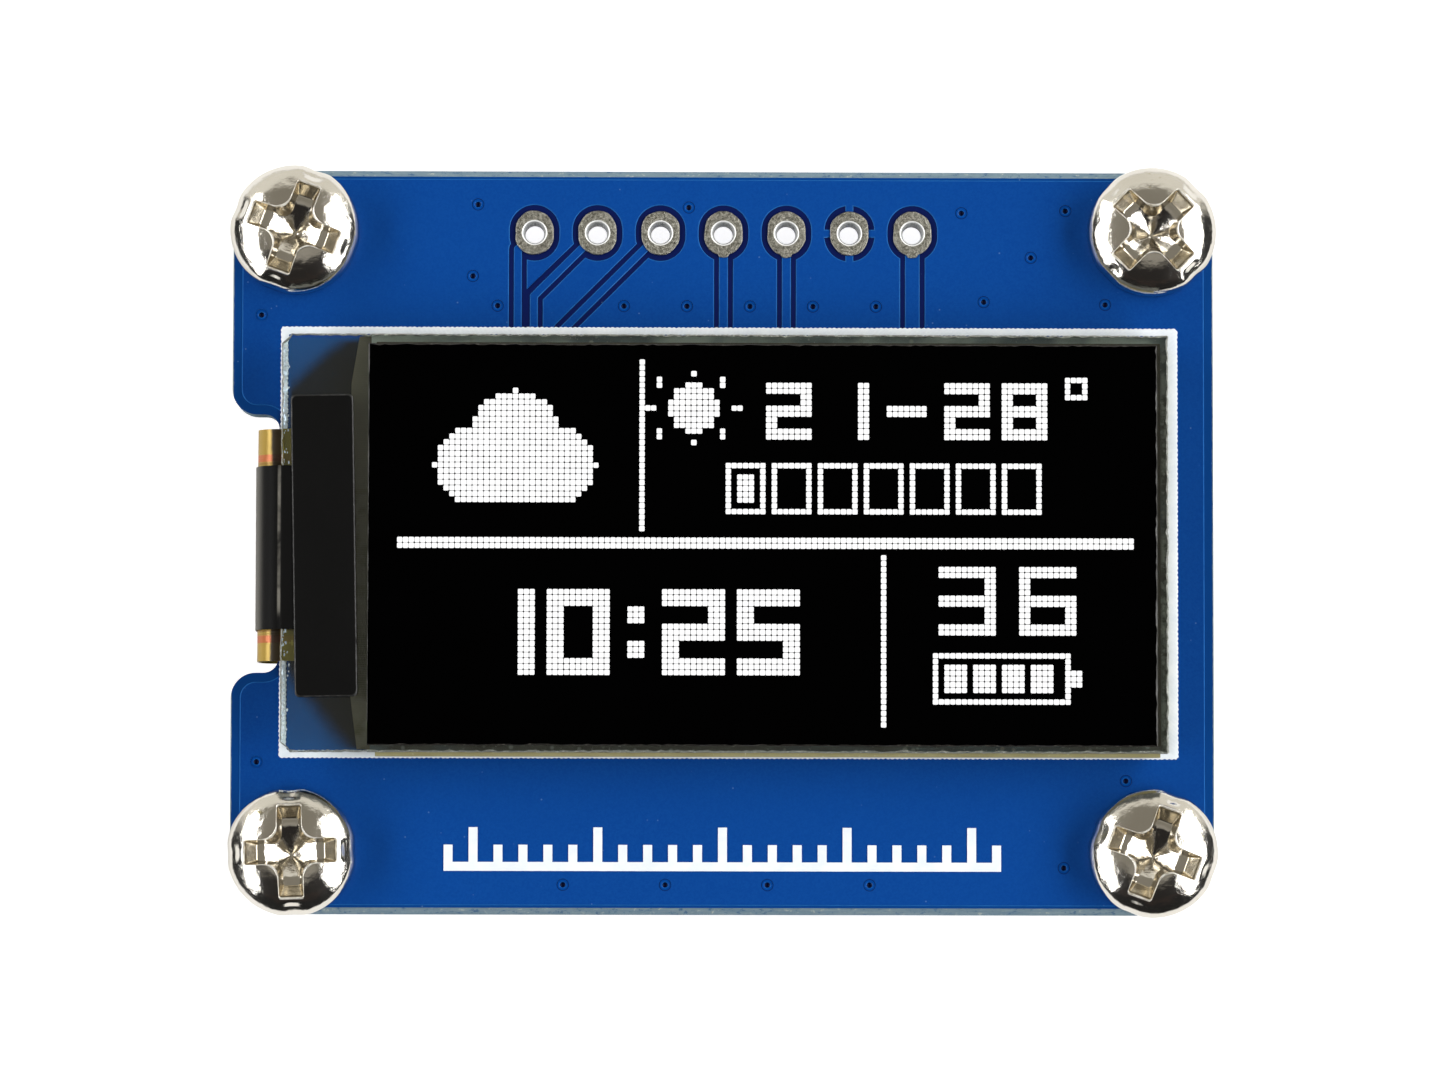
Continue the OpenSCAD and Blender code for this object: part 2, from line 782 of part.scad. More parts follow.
circuit_board();
display_frame_print();
scale_print();
back_print();
for (i = [1:header_count]) header_land(i);
adhesive_pad();
rear_glass();
edge_seal();
emitter_film();
front_glass();
polariser();
lit_picture();
driver_chip();
flex_tail();
flex_joints();
shield_tape();
for (k = [0:3]) screw(k);
for (k = [0:3]) standoff(k);
voltage_regulator();
regulator_leads();
for (i = [1:len(capacitor_at)]) capacitor(i);
for (i = [1:len(resistor_at)]) resistor(i);
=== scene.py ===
"""Looks of the small display module: a lit glass panel on a blue circuit board with four screwed standoffs.

Sizes are in millimetres in the part's own frame, and meshes are made in metres from them.
X runs along the header row, Y towards it and Z towards the viewer.
"""

import math
import random
from functools import partialmethod

import bmesh
import bpy
from mathutils import Matrix, Vector

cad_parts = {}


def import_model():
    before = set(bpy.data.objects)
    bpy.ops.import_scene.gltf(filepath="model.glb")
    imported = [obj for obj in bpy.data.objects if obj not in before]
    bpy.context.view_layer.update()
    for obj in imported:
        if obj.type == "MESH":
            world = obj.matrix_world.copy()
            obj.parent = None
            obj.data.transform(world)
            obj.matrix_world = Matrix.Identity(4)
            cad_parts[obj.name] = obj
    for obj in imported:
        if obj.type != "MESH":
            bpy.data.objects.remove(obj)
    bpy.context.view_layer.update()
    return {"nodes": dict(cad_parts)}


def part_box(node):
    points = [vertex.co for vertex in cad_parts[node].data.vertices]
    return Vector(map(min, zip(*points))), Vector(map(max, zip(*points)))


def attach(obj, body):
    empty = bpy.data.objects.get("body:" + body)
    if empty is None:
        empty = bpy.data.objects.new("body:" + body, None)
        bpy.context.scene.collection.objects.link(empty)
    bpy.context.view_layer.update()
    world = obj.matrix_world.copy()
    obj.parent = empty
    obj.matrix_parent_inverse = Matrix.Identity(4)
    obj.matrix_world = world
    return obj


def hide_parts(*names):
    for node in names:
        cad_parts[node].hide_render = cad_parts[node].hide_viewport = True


MM = 0.001
TAU = 2 * math.pi

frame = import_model()
nodes = frame["nodes"]


def box(node):
    """Lowest and highest corner of a CAD node, in millimetres."""
    low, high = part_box(node)
    return low / MM, high / MM


board_lo, board_hi = box("circuit_board")
glass_lo, glass_hi = box("front_glass")
film_lo, film_hi = box("polariser")
picture_lo, picture_hi = box("lit_picture")
print_lo, print_hi = box("display_frame_print")
flex_lo, flex_hi = box("flex_tail")

# ---- Sizes that the frame doesn't give ----

COPPER_T = 0.035
HOLE_R = 0.5
VIA_DEPTH = 0.12
THREAD_PITCH = 0.5
TOUCH = 0.004  # how near to each other two heights of a mesh count as one
CORNERS = {"top_left": -20, "top_right": 45, "bottom_left": 2, "bottom_right": -20}


# ---- Small tools ----


def srgb(r, g, b):
    """Colour as a screen shows it, from 0 to 255, as the linear colour a shader takes."""

    def linear(v):
        v /= 255
        return v / 12.92 if v <= 0.04045 else ((v + 0.055) / 1.055) ** 2.4

    return (linear(r), linear(g), linear(b), 1.0)


def lerp(a, b, t):
    return a + (b - a) * t


def smooth_step(t):
    t = max(0.0, min(1.0, t))
    return t * t * (3 - 2 * t)


def arc(x, y, r, a0, a1, steps):
    """Points of an arc from one angle to another, in degrees."""
    angles = [math.radians(lerp(a0, a1, i / steps)) for i in range(steps + 1)]
    return [(x + r * math.cos(a), y + r * math.sin(a)) for a in angles]


def corner_arcs(x0, y0, x1, y1, r, steps):
    """The four round corners of a rectangle, anticlockwise from the upper right, as lists of points."""
    centres = (x1 - r, y1 - r), (x0 + r, y1 - r), (x0 + r, y0 + r), (x1 - r, y0 + r)
    return [arc(x, y, r, 90 * k, 90 * k + 90, steps) for k, (x, y) in enumerate(centres)]


def circle(x, y, r, z, count):
    return [(x + r * math.cos(TAU * i / count), y + r * math.sin(TAU * i / count), z) for i in range(count)]


def pushed(loop, reach):
    """A closed anticlockwise outline with each point moved outwards by reach(x, y)."""
    out = []
    for i, (x, y) in enumerate(loop):
        (ax, ay), (bx, by) = loop[i - 1], loop[(i + 1) % len(loop)]
        t = Vector((bx - ax, by - ay)).normalized()
        d = reach(x, y)
        out.append((x + t.y * d, y - t.x * d))
    return out


def piece(name, points, faces, materials, slot, replaces=(), indices=None, smooth=True, angle=35, closed=True):
    """A new mesh of the object, from points in millimetres. It rides on the one body there is."""
    mesh = bpy.data.meshes.new(name)
    mesh.from_pydata([[c * MM for c in p] for p in points], [], faces)
    for m in materials if isinstance(materials, (list, tuple)) else [materials]:
        mesh.materials.append(m)
    if indices:
        mesh.polygons.foreach_set("material_index", indices)
    mesh.update()
    if closed:
        shell = bmesh.new()
        shell.from_mesh(mesh)
        bmesh.ops.recalc_face_normals(shell, faces=shell.faces)
        shell.to_mesh(mesh)
        shell.free()
    obj = bpy.data.objects.new(name, mesh)
    bpy.context.scene.collection.objects.link(obj)
    if smooth:
        mesh.polygons.foreach_set("use_smooth", [True] * len(mesh.polygons))
        mesh.set_sharp_from_angle(angle=math.radians(angle))
    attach(obj, "root")
    if replaces:
        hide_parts(*([replaces] if isinstance(replaces, str) else replaces))
    return obj


class Build:
    """Points and faces of a mesh as it grows, with a material number for each face."""

    def __init__(self):
        self.points, self.faces, self.indices = [], [], []

    def face(self, numbers, material=0):
        self.faces.append(tuple(numbers))
        self.indices.append(material)

    def ring(self, points):
        """Adds points and gives their numbers."""
        start = len(self.points)
        self.points.extend(tuple(p) for p in points)
        return list(range(start, len(self.points)))

    def join(self, a, b, material=0, closed=True):
        """Quads between two rings of equally many points."""
        n = len(a)
        for i in range(n if closed else n - 1):
            j = (i + 1) % n
            self.face((a[i], a[j], b[j], b[i]), material)

    def loft(self, rings, material=0, closed=True):
        numbers = [self.ring(r) for r in rings]
        for a, b in zip(numbers, numbers[1:]):
            self.join(a, b, material, closed)
        return numbers

    def piece(self, name, materials, slot, **settings):
        return piece(name, self.points, self.faces, materials, slot, indices=self.indices, **settings)


class Nodes:
    """Nodes of a material or of the world, made by short calls."""

    def __init__(self, tree):
        self.tree = tree

    def node(self, kind, inputs=None, **settings):
        made = self.tree.nodes.new(kind)
        for key, value in settings.items():
            setattr(made, key, value)
        for key, value in (inputs or {}).items():
            self.plug(made.inputs[key], value)
        return made

    def plug(self, socket, value):
        if isinstance(value, bpy.types.NodeSocket):
            self.tree.links.new(value, socket)
        else:
            socket.default_value = value

    def math(self, operation, a, b=0.0, c=0.0):
        return self.node("ShaderNodeMath", {0: a, 1: b, 2: c}, operation=operation).outputs[0]

    add = partialmethod(math, "ADD")
    sub = partialmethod(math, "SUBTRACT")
    mul = partialmethod(math, "MULTIPLY")
    abs = partialmethod(math, "ABSOLUTE")
    min = partialmethod(math, "MINIMUM")
    max = partialmethod(math, "MAXIMUM")

    def step(self, value, low, high):
        """0 below low and 1 above high, smooth between them."""
        limits = {"Value": value, "From Min": low, "From Max": high}
        return self.node("ShaderNodeMapRange", limits, interpolation_type="SMOOTHSTEP").outputs[0]

    def between(self, value, low, high):
        return self.node("ShaderNodeMapRange", {"Value": value, "To Min": low, "To Max": high}).outputs[0]

    def mix(self, share, a, b):
        return self.node("ShaderNodeMix", {0: share, 6: a, 7: b}, data_type="RGBA").outputs[2]


class Surface(Nodes):
    """A procedural material. Places are in the object's frame, and sizes in millimetres."""

    def __init__(self, name, roughness=0.5, **sockets):
        self.material = bpy.data.materials.new(name)
        self.material.use_nodes = True
        super().__init__(self.material.node_tree)
        self.shader = self.tree.nodes["Principled BSDF"]
        self.place = self.node("ShaderNodeTexCoord").outputs["Object"]
        self.split = None
        self.set("Base Color", (0, 0, 0, 1))
        self.set("Roughness", roughness)
        for socket, value in sockets.items():
            self.set(socket.replace("_", " "), value)

    def set(self, socket, value):
        self.plug(self.shader.inputs[socket], value)

    def axis(self, letter):
        """One coordinate of the place, in millimetres."""
        if self.split is None:
            scaled = self.node("ShaderNodeVectorMath", {0: self.place, "Scale": 1 / MM}, operation="SCALE")
            self.split = self.node("ShaderNodeSeparateXYZ", {0: scaled.outputs[0]})
        return self.split.outputs[letter]

    def facing(self):
        """How much the surface faces up or down, from 0 to 1."""
        normal = self.node("ShaderNodeNewGeometry").outputs["True Normal"]
        return self.abs(self.node("ShaderNodeSeparateXYZ", {0: normal}).outputs["Z"])

    def noise(self, size, detail=2.0, roughness=0.5, stretch=(1, 1, 1)):
        """Noise with patches of about that many millimetres."""
        scale = [1 / (size * MM * s) for s in stretch]
        placed = self.node("ShaderNodeMapping", {"Vector": self.place, "Scale": scale})
        settings = {"Vector": placed.outputs[0], "Scale": 1.0, "Detail": detail, "Roughness": roughness}
        return self.node("ShaderNodeTexNoise", settings).outputs[0]

    def grains(self, size, feature="F1"):
        settings = {"Vector": self.place, "Scale": 1 / (size * MM)}
        return self.node("ShaderNodeTexVoronoi", settings, feature=feature).outputs["Distance"]

    def stripes(self, value, pitch, share):
        """1 on stripes that take that share of each pitch of a coordinate, in millimetres."""
        way = self.math("FRACT", self.math("DIVIDE", value, pitch))
        off = self.abs(self.sub(way, 0.5))
        return self.sub(1.0, self.step(off, share / 2 - 0.06, share / 2 + 0.06))

    def bump(self, *layers):
        """Bump from pairs of a height from 0 to 1 and its depth in millimetres. Gives the finished material."""
        normal = None
        for height, depth in layers:
            inputs = {"Height": height, "Distance": depth * MM, "Strength": 1.0}
            if normal:
                inputs["Normal"] = normal
            normal = self.node("ShaderNodeBump", inputs).outputs[0]
        self.set("Normal", normal)
        return self.material


def coat(node, material):
    """Gives a CAD node its material."""
    mesh = nodes[node].data
    mesh.materials.clear()
    mesh.materials.append(material)


# ---- Materials ----

MASK_BLUES = srgb(0, 58, 134), srgb(2, 65, 144)


def mask_surface():
    """Blue solder mask over copper and laminate, with the bare laminate on the board's cut edges."""
    s = Surface("blue_solder_mask", 0.3, Specular_IOR_Level=0.14)
    half = (board_hi.z - board_lo.z) / 2
    level = s.abs(s.sub(s.axis("Z"), (board_hi.z + board_lo.z) / 2))
    copper = s.step(level, half - COPPER_T * 0.55, half - COPPER_T * 0.08)
    from_side = s.sub(board_hi.x, s.abs(s.axis("X")))
    from_end = s.sub(board_hi.y, s.abs(s.axis("Y")))
    # Where there is no copper the mask is dark, but lighter near the board's edges and left of the glass's edge:
    # painted light, as if it came in through the laminate's cut edges
    inside = s.step(s.min(from_side, from_end), 0.42, 0.7)
    inside = s.mul(inside, s.step(s.axis("X"), glass_lo.x - 0.3, glass_lo.x))
    fine = s.noise(0.09, 2, 0.6)
    clouds = s.noise(9, 3)
    grain = s.noise(0.35, 3, 0.6)
    over_copper = s.mix(clouds, *MASK_BLUES)
    over_copper = s.mix(s.step(grain, 0.35, 0.75), over_copper, srgb(0, 62, 139))
    over_glass = s.mix(inside, srgb(0, 61, 131), srgb(4, 20, 76))
    mask = s.mix(copper, over_glass, over_copper)
    mask = s.mix(s.mul(s.mul(s.step(fine, 0.35, 0.65), 0.12), copper), mask, srgb(24, 92, 168))
    # Under the ledge of the glass the board is a little greener, and past a slanting soft line on each side of the tape
    # it is painted near black: a painted shadow of the ledge
    off = s.sub(s.axis("Y"), (glass_lo.y + glass_hi.y) / 2)
    from_edge = s.sub((glass_hi.y - glass_lo.y) / 2, s.abs(off))
    in_x = s.sub(s.axis("X"), glass_lo.x)
    upper = s.step(off, -1, 1)
    slant = s.add(in_x, s.mul(from_edge, s.between(upper, 0.81, 1.19)))
    slant = s.add(slant, s.between(upper, -0.27, 0.0))
    slant = s.add(slant, s.mul(s.noise(1.3, 3), 0.5))
    ledge = s.mul(s.step(in_x, 0.0, 0.1), s.step(from_edge, 0.0, 0.1))
    ledge = s.mul(ledge, s.step(in_x, 3.9, 3.7))
    ledge = s.mul(ledge, s.math("GREATER_THAN", s.axis("Z"), (board_lo.z + board_hi.z) / 2))
    mask = s.mix(s.mul(ledge, 0.5), mask, srgb(0, 80, 124))
    under = s.mul(s.step(slant, 2.2, 3.4), s.step(in_x, 0.1, 0.4))
    under = s.mul(under, s.mul(ledge, s.step(from_edge, 0.0, 0.3)))
    mask = s.mix(s.mul(under, 0.95), mask, srgb(3, 4, 4))
    # The mask is chipped off the laminate along the routed sides
    chipped = s.add(from_side, s.mul(s.noise(0.35, 4, 0.7), 0.07))
    chipped = s.step(chipped, 0.085, 0.065)
    mask = s.mix(s.mul(chipped, 0.8), mask, srgb(150, 168, 166))
    # Dust and lint, sparse and fine
    dust = s.mul(s.step(s.grains(0.55), 0.075, 0.045), s.step(s.noise(1.1, 3), 0.52, 0.6))
    mask = s.mix(s.mul(dust, 0.35), mask, srgb(110, 150, 196))

    # The cut edges show the laminate's layers of glass fibre, with crumbs and torn threads
    layers = s.noise(0.16, 3, 0.6, (9, 9, 1))
    crumbs = s.noise(0.3, 4, 0.7)
    fibre = s.mix(layers, srgb(84, 116, 140), srgb(142, 160, 166))
    fibre = s.mix(s.step(crumbs, 0.58, 0.72), fibre, srgb(176, 184, 178))
    fibre = s.mix(s.step(crumbs, 0.46, 0.32), fibre, srgb(68, 102, 136))
    deep = s.step(level, half - COPPER_T - 0.003, half - COPPER_T - 0.012)
    steep = s.step(s.facing(), 0.85, 0.7)
    cut = s.mul(deep, steep)
    s.set("Base Color", s.mix(cut, mask, fibre))
    rough = s.between(grain, 0.26, 0.4)
    s.set("Roughness", s.max(rough, s.mul(cut, 0.85)))
    # The weave of the laminate shows faintly through the mask
    weave_x = s.math("SINE", s.mul(s.axis("X"), TAU / 0.46))
    weave_y = s.math("SINE", s.mul(s.axis("Y"), TAU / 0.52))
    weave = s.between(s.mul(weave_x, weave_y), 0.4, 0.6)
    return s.bump((weave, 0.006), (grain, 0.004), (s.mul(crumbs, cut), 0.05))


def via_surface():
    """Mouth of a via, where the mask sinks in: lighter at its lip, and painted dark further down, a painted shade in
    the hole.
    """
    s = Surface("via_mouth", 0.25, Specular_IOR_Level=0.08)
    depth = s.sub(board_hi.z, s.axis("Z"))
    blue = s.mix(s.noise(0.2, 3), *MASK_BLUES)
    lip = s.mix(s.step(depth, 0.004, 0.02), blue, srgb(20, 96, 180))
    s.set("Base Color", s.mix(s.step(depth, 0.03, 0.06), lip, srgb(3, 14, 52)))
    return s.bump((s.noise(0.08, 3), 0.006))


def solder_surface():
    s = Surface("tinned_solder", Metallic=1.0)
    grain = s.noise(0.13, 4, 0.7)
    s.set("Base Color", s.mix(s.step(grain, 0.3, 0.65), srgb(112, 111, 102), srgb(162, 160, 150)))
    s.set("Roughness", s.between(grain, 0.2, 0.42))
    return s.bump((grain, 0.045), (s.step(s.grains(0.09), 0.1, 0.35), 0.01))


def barrel_surface():
    s = Surface("hole_plating", 0.4, Metallic=0.35)
    grain = s.noise(0.16, 3, 0.6)
    depth = s.sub(board_hi.z, s.axis("Z"))
    wall = s.mix(grain, srgb(150, 152, 152), srgb(196, 198, 198))
    # Near white round the top of the hole: a painted highlight on its mouth
    s.set("Base Color", s.mix(s.step(depth, -0.02, 0.06), srgb(252, 253, 253), wall))
    s.set("Roughness", s.between(grain, 0.32, 0.55))
    return s.bump((grain, 0.01))


def nickel_surface(name="nickel_plate", rough=0.05, low=(214, 209, 199), high=(232, 229, 222)):
    """Bright nickel with a warm cast, fine scratches, faint stains and reddish rub marks."""
    s = Surface(name, 0.1, Metallic=1.0)
    clouds = s.noise(1.6, 3)
    scratches = s.noise(0.14, 4, 0.75, (7, 0.5, 1))
    across = s.noise(0.16, 4, 0.75, (0.6, 6, 1))
    stains = s.noise(0.7, 4, 0.6)
    base = s.mix(clouds, srgb(*low), srgb(*high))
    base = s.mix(s.step(stains, 0.66, 0.78), base, srgb(178, 166, 124))
    base = s.mix(s.mul(s.step(across, 0.66, 0.8), 0.4), base, srgb(176, 140, 120))
    s.set("Base Color", base)
    s.set("Roughness", s.add(s.between(clouds, rough, rough + 0.06), s.mul(scratches, 0.06)))
    swells = ((s.noise(1.1, 2), 0.045), (s.noise(0.3, 3), 0.011))
    return s.bump(*swells, (scratches, 0.0022), (across, 0.0016), (s.noise(0.05, 2), 0.0008))


def lip_highlight_surface():
    """Lip of a recess, near white and partly diffuse: a painted highlight along the lip."""
    s = Surface("lip_painted_highlight", Metallic=0.55)
    painted_sheen = s.noise(0.25, 3, 0.6)
    s.set("Base Color", s.mix(s.step(painted_sheen, 0.3, 0.6), srgb(196, 188, 172), srgb(248, 246, 240)))
    s.set("Roughness", s.between(painted_sheen, 0.25, 0.5))
    return s.bump((s.noise(0.06, 3), 0.004))


def clear_glass_surface():
    """Glass with a greenish cast and faint smears."""
    tint = srgb(232, 243, 240)
    s = Surface("clear_glass", 0.0, Base_Color=tint, Transmission_Weight=1.0, IOR=1.5, Specular_IOR_Level=0.14)
    s.set("Roughness", s.between(s.noise(2.5, 3), 0.0, 0.035))
    return s.material


def ground_glass_surface():
    """Cut edge of the glass: rough, with bright chips."""
    s = Surface("ground_glass_edge", 0.5, Transmission_Weight=0.25, IOR=1.5)
    chips = s.noise(0.13, 3, 0.7)
    patches = s.noise(1.4, 3)
    dark = s.mix(patches, srgb(96, 99, 92), srgb(142, 146, 138))
    s.set("Base Color", s.mix(s.step(chips, 0.48, 0.74), dark, srgb(196, 200, 192)))
    s.set("Roughness", s.between(chips, 0.3, 0.6))
    return s.bump((chips, 0.012))


def rim_surface():
    """Seal and glass rim seen through the front glass: dark, brown and grey, with light specks."""
    s = Surface("rim_seal", 0.45)
    patches = s.noise(1.8, 4, 0.6)
    specks = s.noise(0.16, 3, 0.7)
    # Painted light: the rim is made near white along its top
    painted_light_at_top = s.step(s.axis("Y"), film_hi.y - 0.1, film_hi.y)
    base = s.mix(patches, srgb(70, 66, 56), srgb(138, 138, 128))
    base = s.mix(s.mul(painted_light_at_top, 0.85), base, srgb(222, 224, 214))
    outer = s.step(s.axis("X"), film_hi.x + 0.12, film_hi.x + 0.3)
    base = s.mix(s.mul(outer, s.step(s.noise(0.8, 4, 0.7), 0.42, 0.6)), base, srgb(224, 222, 212))
    base = s.mix(s.step(s.noise(3.5, 2), 0.45, 0.65), base, srgb(104, 118, 124))
    base = s.mix(s.step(s.grains(0.42), 0.3, 0.12), base, srgb(176, 178, 168))
    s.set("Base Color", s.mix(s.step(specks, 0.6, 0.74), base, srgb(204, 204, 192)))
    return s.bump((specks, 0.01))


def polariser_surface():
    s = Surface("polariser_film", 0.2, Specular_IOR_Level=0.015)
    haze = s.noise(3, 3)
    s.set("Base Color", s.mix(haze, (0.0001, 0.0001, 0.0001, 1), (0.0003, 0.0003, 0.0004, 1)))
    s.set("Roughness", s.between(haze, 0.12, 0.22))
    return s.bump((s.noise(6, 2), 0.004))


def rear_glass_surface():
    """Rear glass with the olive cast that shows at its cut edge."""
    s = Surface("rear_glass_olive", 0.35, Specular_IOR_Level=0.5)
    bands = s.noise(0.5, 3, 0.6, (3, 1, 1))
    chips = s.noise(0.12, 3, 0.7)
    base = s.mix(bands, srgb(140, 132, 86), srgb(184, 178, 132))
    s.set("Base Color", s.mix(s.step(chips, 0.62, 0.78), base, srgb(214, 214, 190)))
    s.set("Roughness", s.between(bands, 0.2, 0.5))
    return s.bump((chips, 0.012))


def pad_surface():
    s = Surface("foam_adhesive", 0.8)
    s.set("Base Color", s.mix(s.noise(1.0, 3), srgb(196, 190, 168), srgb(222, 218, 202)))
    return s.bump((s.grains(0.14), 0.03))


def picture_surface():
    """Light of the lit cells, a little uneven from cell to cell."""
    s = Surface("lit_cells", 0.4, Base_Color=(0.02, 0.02, 0.02, 1), Specular_IOR_Level=0.0)
    s.set("Emission Color", (1, 1, 1, 1))
    s.set("Emission Strength", s.between(s.noise(0.6, 2), 1.0, 1.15))
    return s.material


def trace_surface():
    """Thin metal traces under the ledge that fan out to the picture."""
    s = Surface("fan_out_traces", 0.4)
    lines = s.stripes(s.axis("Y"), 0.09, 0.55)
    base = s.mix(s.noise(1.5, 3), srgb(104, 93, 78), srgb(126, 114, 96))
    olive = s.step(s.axis("Y"), 2.4, 1.6)
    base = s.mix(s.mul(olive, s.step(s.noise(0.9, 3), 0.4, 0.6)), base, srgb(78, 74, 34))
    s.set("Base Color", s.mix(s.mul(lines, 0.3), base, srgb(120, 112, 96)))
    return s.bump((lines, 0.002))


def flex_surface(middle_y, width):
    """Amber film over fine copper traces, with a wide copper strip near each side."""
    s = Surface("amber_flex", 0.3, Metallic=0.3)
    off = s.sub(s.axis("Y"), middle_y)
    side = s.abs(off)
    inner = s.step(side, width / 2 - 1.0, width / 2 - 1.12)
    lines = s.mul(s.stripes(off, 0.16, 0.5), inner)
    # The strips lie a little off the middle of the tail
    strip_off = s.abs(s.sub(s.abs(s.add(off, 0.14)), width / 2 - 1.02))
    strip = s.step(strip_off, 0.17, 0.12)
    base = s.mix(s.noise(1.2, 4, 0.6), srgb(148, 120, 38), srgb(176, 146, 60))
    base = s.mix(s.mul(lines, 0.5), base, srgb(140, 92, 34))
    base = s.mix(strip, base, srgb(178, 98, 50))
    # Under the ledge the film looks olive
    ledge = s.step(s.axis("X"), glass_lo.x, glass_lo.x + 0.1)
    ledge = s.mul(ledge, s.step(s.axis("Z"), glass_lo.z - 0.3, glass_lo.z - 0.2))
    base = s.mix(s.mul(ledge, 0.6), base, srgb(206, 182, 66))
    # Painted shadow of the glass's edge on the tail, dark and ragged along it
    ragged = s.add(s.axis("X"), s.mul(s.noise(0.5, 3), 0.12))
    glass_edge_painted_shadow = s.step(s.add(ragged, s.mul(side, 0.03)), glass_lo.x - 0.3, glass_lo.x - 0.18)
    glass_edge_painted_shadow = s.mul(glass_edge_painted_shadow, s.step(ragged, glass_lo.x + 0.1, glass_lo.x))
    glass_edge_painted_shadow = s.mul(glass_edge_painted_shadow, s.step(s.axis("Z"), glass_lo.z - 0.6, glass_lo.z - 0.4))
    s.set("Base Color", s.mix(s.mul(glass_edge_painted_shadow, 0.96), base, srgb(26, 18, 9)))
    s.set("Roughness", s.between(s.noise(0.5, 3), 0.26, 0.4))
    return s.bump((lines, 0.006), (strip, 0.008), (s.noise(0.7, 3), 0.008))


def tape_surface():
    s = Surface("black_tape", 0.5, Specular_IOR_Level=0.06, Sheen_Weight=0.35, Sheen_Roughness=0.35)
    dust = s.noise(0.11, 3, 0.7)
    base = s.mix(s.noise(2.5, 3), srgb(8, 8, 8), srgb(13, 13, 13))
    # Painted sheen: a little greyer round its fold, and a painted highlight along the crease at the edge of the glass
    painted_sheen = s.mul(s.step(s.axis("X"), flex_lo.x + 0.34, flex_lo.x + 0.02), 0.3)
    crease = s.step(s.abs(s.sub(s.axis("X"), glass_lo.x - 0.06)), 0.09, 0.03)
    crease = s.mul(s.mul(crease, s.step(s.noise(0.9, 3), 0.3, 0.7)), 0.6)
    base = s.mix(s.max(painted_sheen, crease), base, srgb(146, 143, 134))
    s.set("Base Color", base)
    s.set("Roughness", s.between(dust, 0.42, 0.58))
    return s.bump((dust, 0.006), (s.noise(1.4, 2), 0.02))


def grained(name, low, high, patches, edges, rough, grain, depth, spread=None, **sockets):
    """A surface of two colours in patches. A finer grain gives its height, and its gloss where rough is a range.

    Edges are where the patches' noise turns from one colour to the other, or None for all the way."""
    fixed = not isinstance(rough, tuple)
    s = Surface(name, rough if fixed else rough[0], **sockets)
    large = s.noise(*patches)
    fine = s.noise(*grain) if grain else large
    s.set("Base Color", s.mix(s.step(large, *edges) if edges else large, srgb(*low), srgb(*high)))
    if not fixed:
        s.set("Roughness", s.between(fine, *rough))
    return s.bump((fine, depth), *([(large, spread)] if spread else []))


mask = mask_surface()
# The slopes along the copper's edges take a lighter blue than the mask: a painted highlight, besides the light their
# slope catches
mask_edge = grained(
    "mask_edge", (14, 76, 148), (40, 108, 178), (0.4, 3), None, 0.3, (0.12, 3), 0.003, Specular_IOR_Level=0.06
)
via = via_surface()
ink = grained(
    "white_ink", (226, 234, 243), (238, 244, 250), (0.9, 4, 0.6), (0.3, 0.7), (0.38, 0.62), (0.12, 3, 0.7), 0.008,
    0.006, Specular_IOR_Level=0.35,
)
solder = solder_surface()
barrel = barrel_surface()
nickel = nickel_surface()
recess_nickel = nickel_surface("recess_nickel", 0.18, (170, 160, 140), (204, 196, 178))
lip_highlight_nickel = lip_highlight_surface()
standoff_metal = grained(
    "standoff_nickel", (192, 188, 176), (218, 214, 204), (1.2, 3), None, (0.16, 0.36), (0.1, 3, 0.6, (8, 8, 0.4)),
    0.006, 0.01, Metallic=1.0,
)
clear_glass = clear_glass_surface()
ground_glass = ground_glass_surface()
rim = rim_surface()
polariser = polariser_surface()
film_edge = grained("polariser_edge", (26, 24, 21), (84, 82, 76), (0.18, 3, 0.7), (0.5, 0.75), 0.4, None, 0.01)
rear_glass = rear_glass_surface()
traces = trace_surface()
flex = flex_surface((flex_lo.y + flex_hi.y) / 2, flex_hi.y - flex_lo.y)
tape = tape_surface()
# Cut edges of the tape, lighter than its face: a painted highlight along them
tape_edge = grained("tape_cut_edge", (16, 16, 16), (62, 62, 62), (0.2, 3, 0.7), (0.45, 0.75), 0.45, None, 0.01)
capacitor_body, resistor_body, resistor_base = (
    grained(name, low, high, (0.7, 3), None, (0.36, 0.6), (0.12, 4, 0.6), 0.008)
    for name, low, high in (
        ("capacitor_ceramic", (138, 104, 74), (168, 132, 98)),
        ("resistor_ceramic", (20, 21, 24), (34, 35, 38)),
        ("resistor_alumina", (206, 206, 200), (226, 226, 220)),
    )
)
epoxy = grained(
    "black_epoxy", (26, 26, 27), (38, 38, 39), (0.9, 2), None, (0.4, 0.62), (0.07, 3, 0.7), 0.01,
    Specular_IOR_Level=0.45,
)

coat("circuit_board", mask)
coat("adhesive_pad", pad_surface())
coat("rear_glass", rear_glass)
for node, *recipe, metal in (
    ("edge_seal", "edge_seal_resin", (70, 64, 50), (104, 98, 78), (0.6, 3), None, 0.4, (0.2, 3), 0.01, 0.0),
    ("emitter_film", "emitter_film", (24, 22, 20), (44, 40, 34), (1.2, 3), None, 0.25, (0.3, 2), 0.002, 0.6),
    ("driver_chip", "bare_chip", (40, 43, 50), (66, 68, 74), (0.8, 3), None, 0.22, (0.15, 3), 0.002, 0.4),
):
    coat(node, grained(*recipe, Metallic=metal))


# ---- Circuit board ----


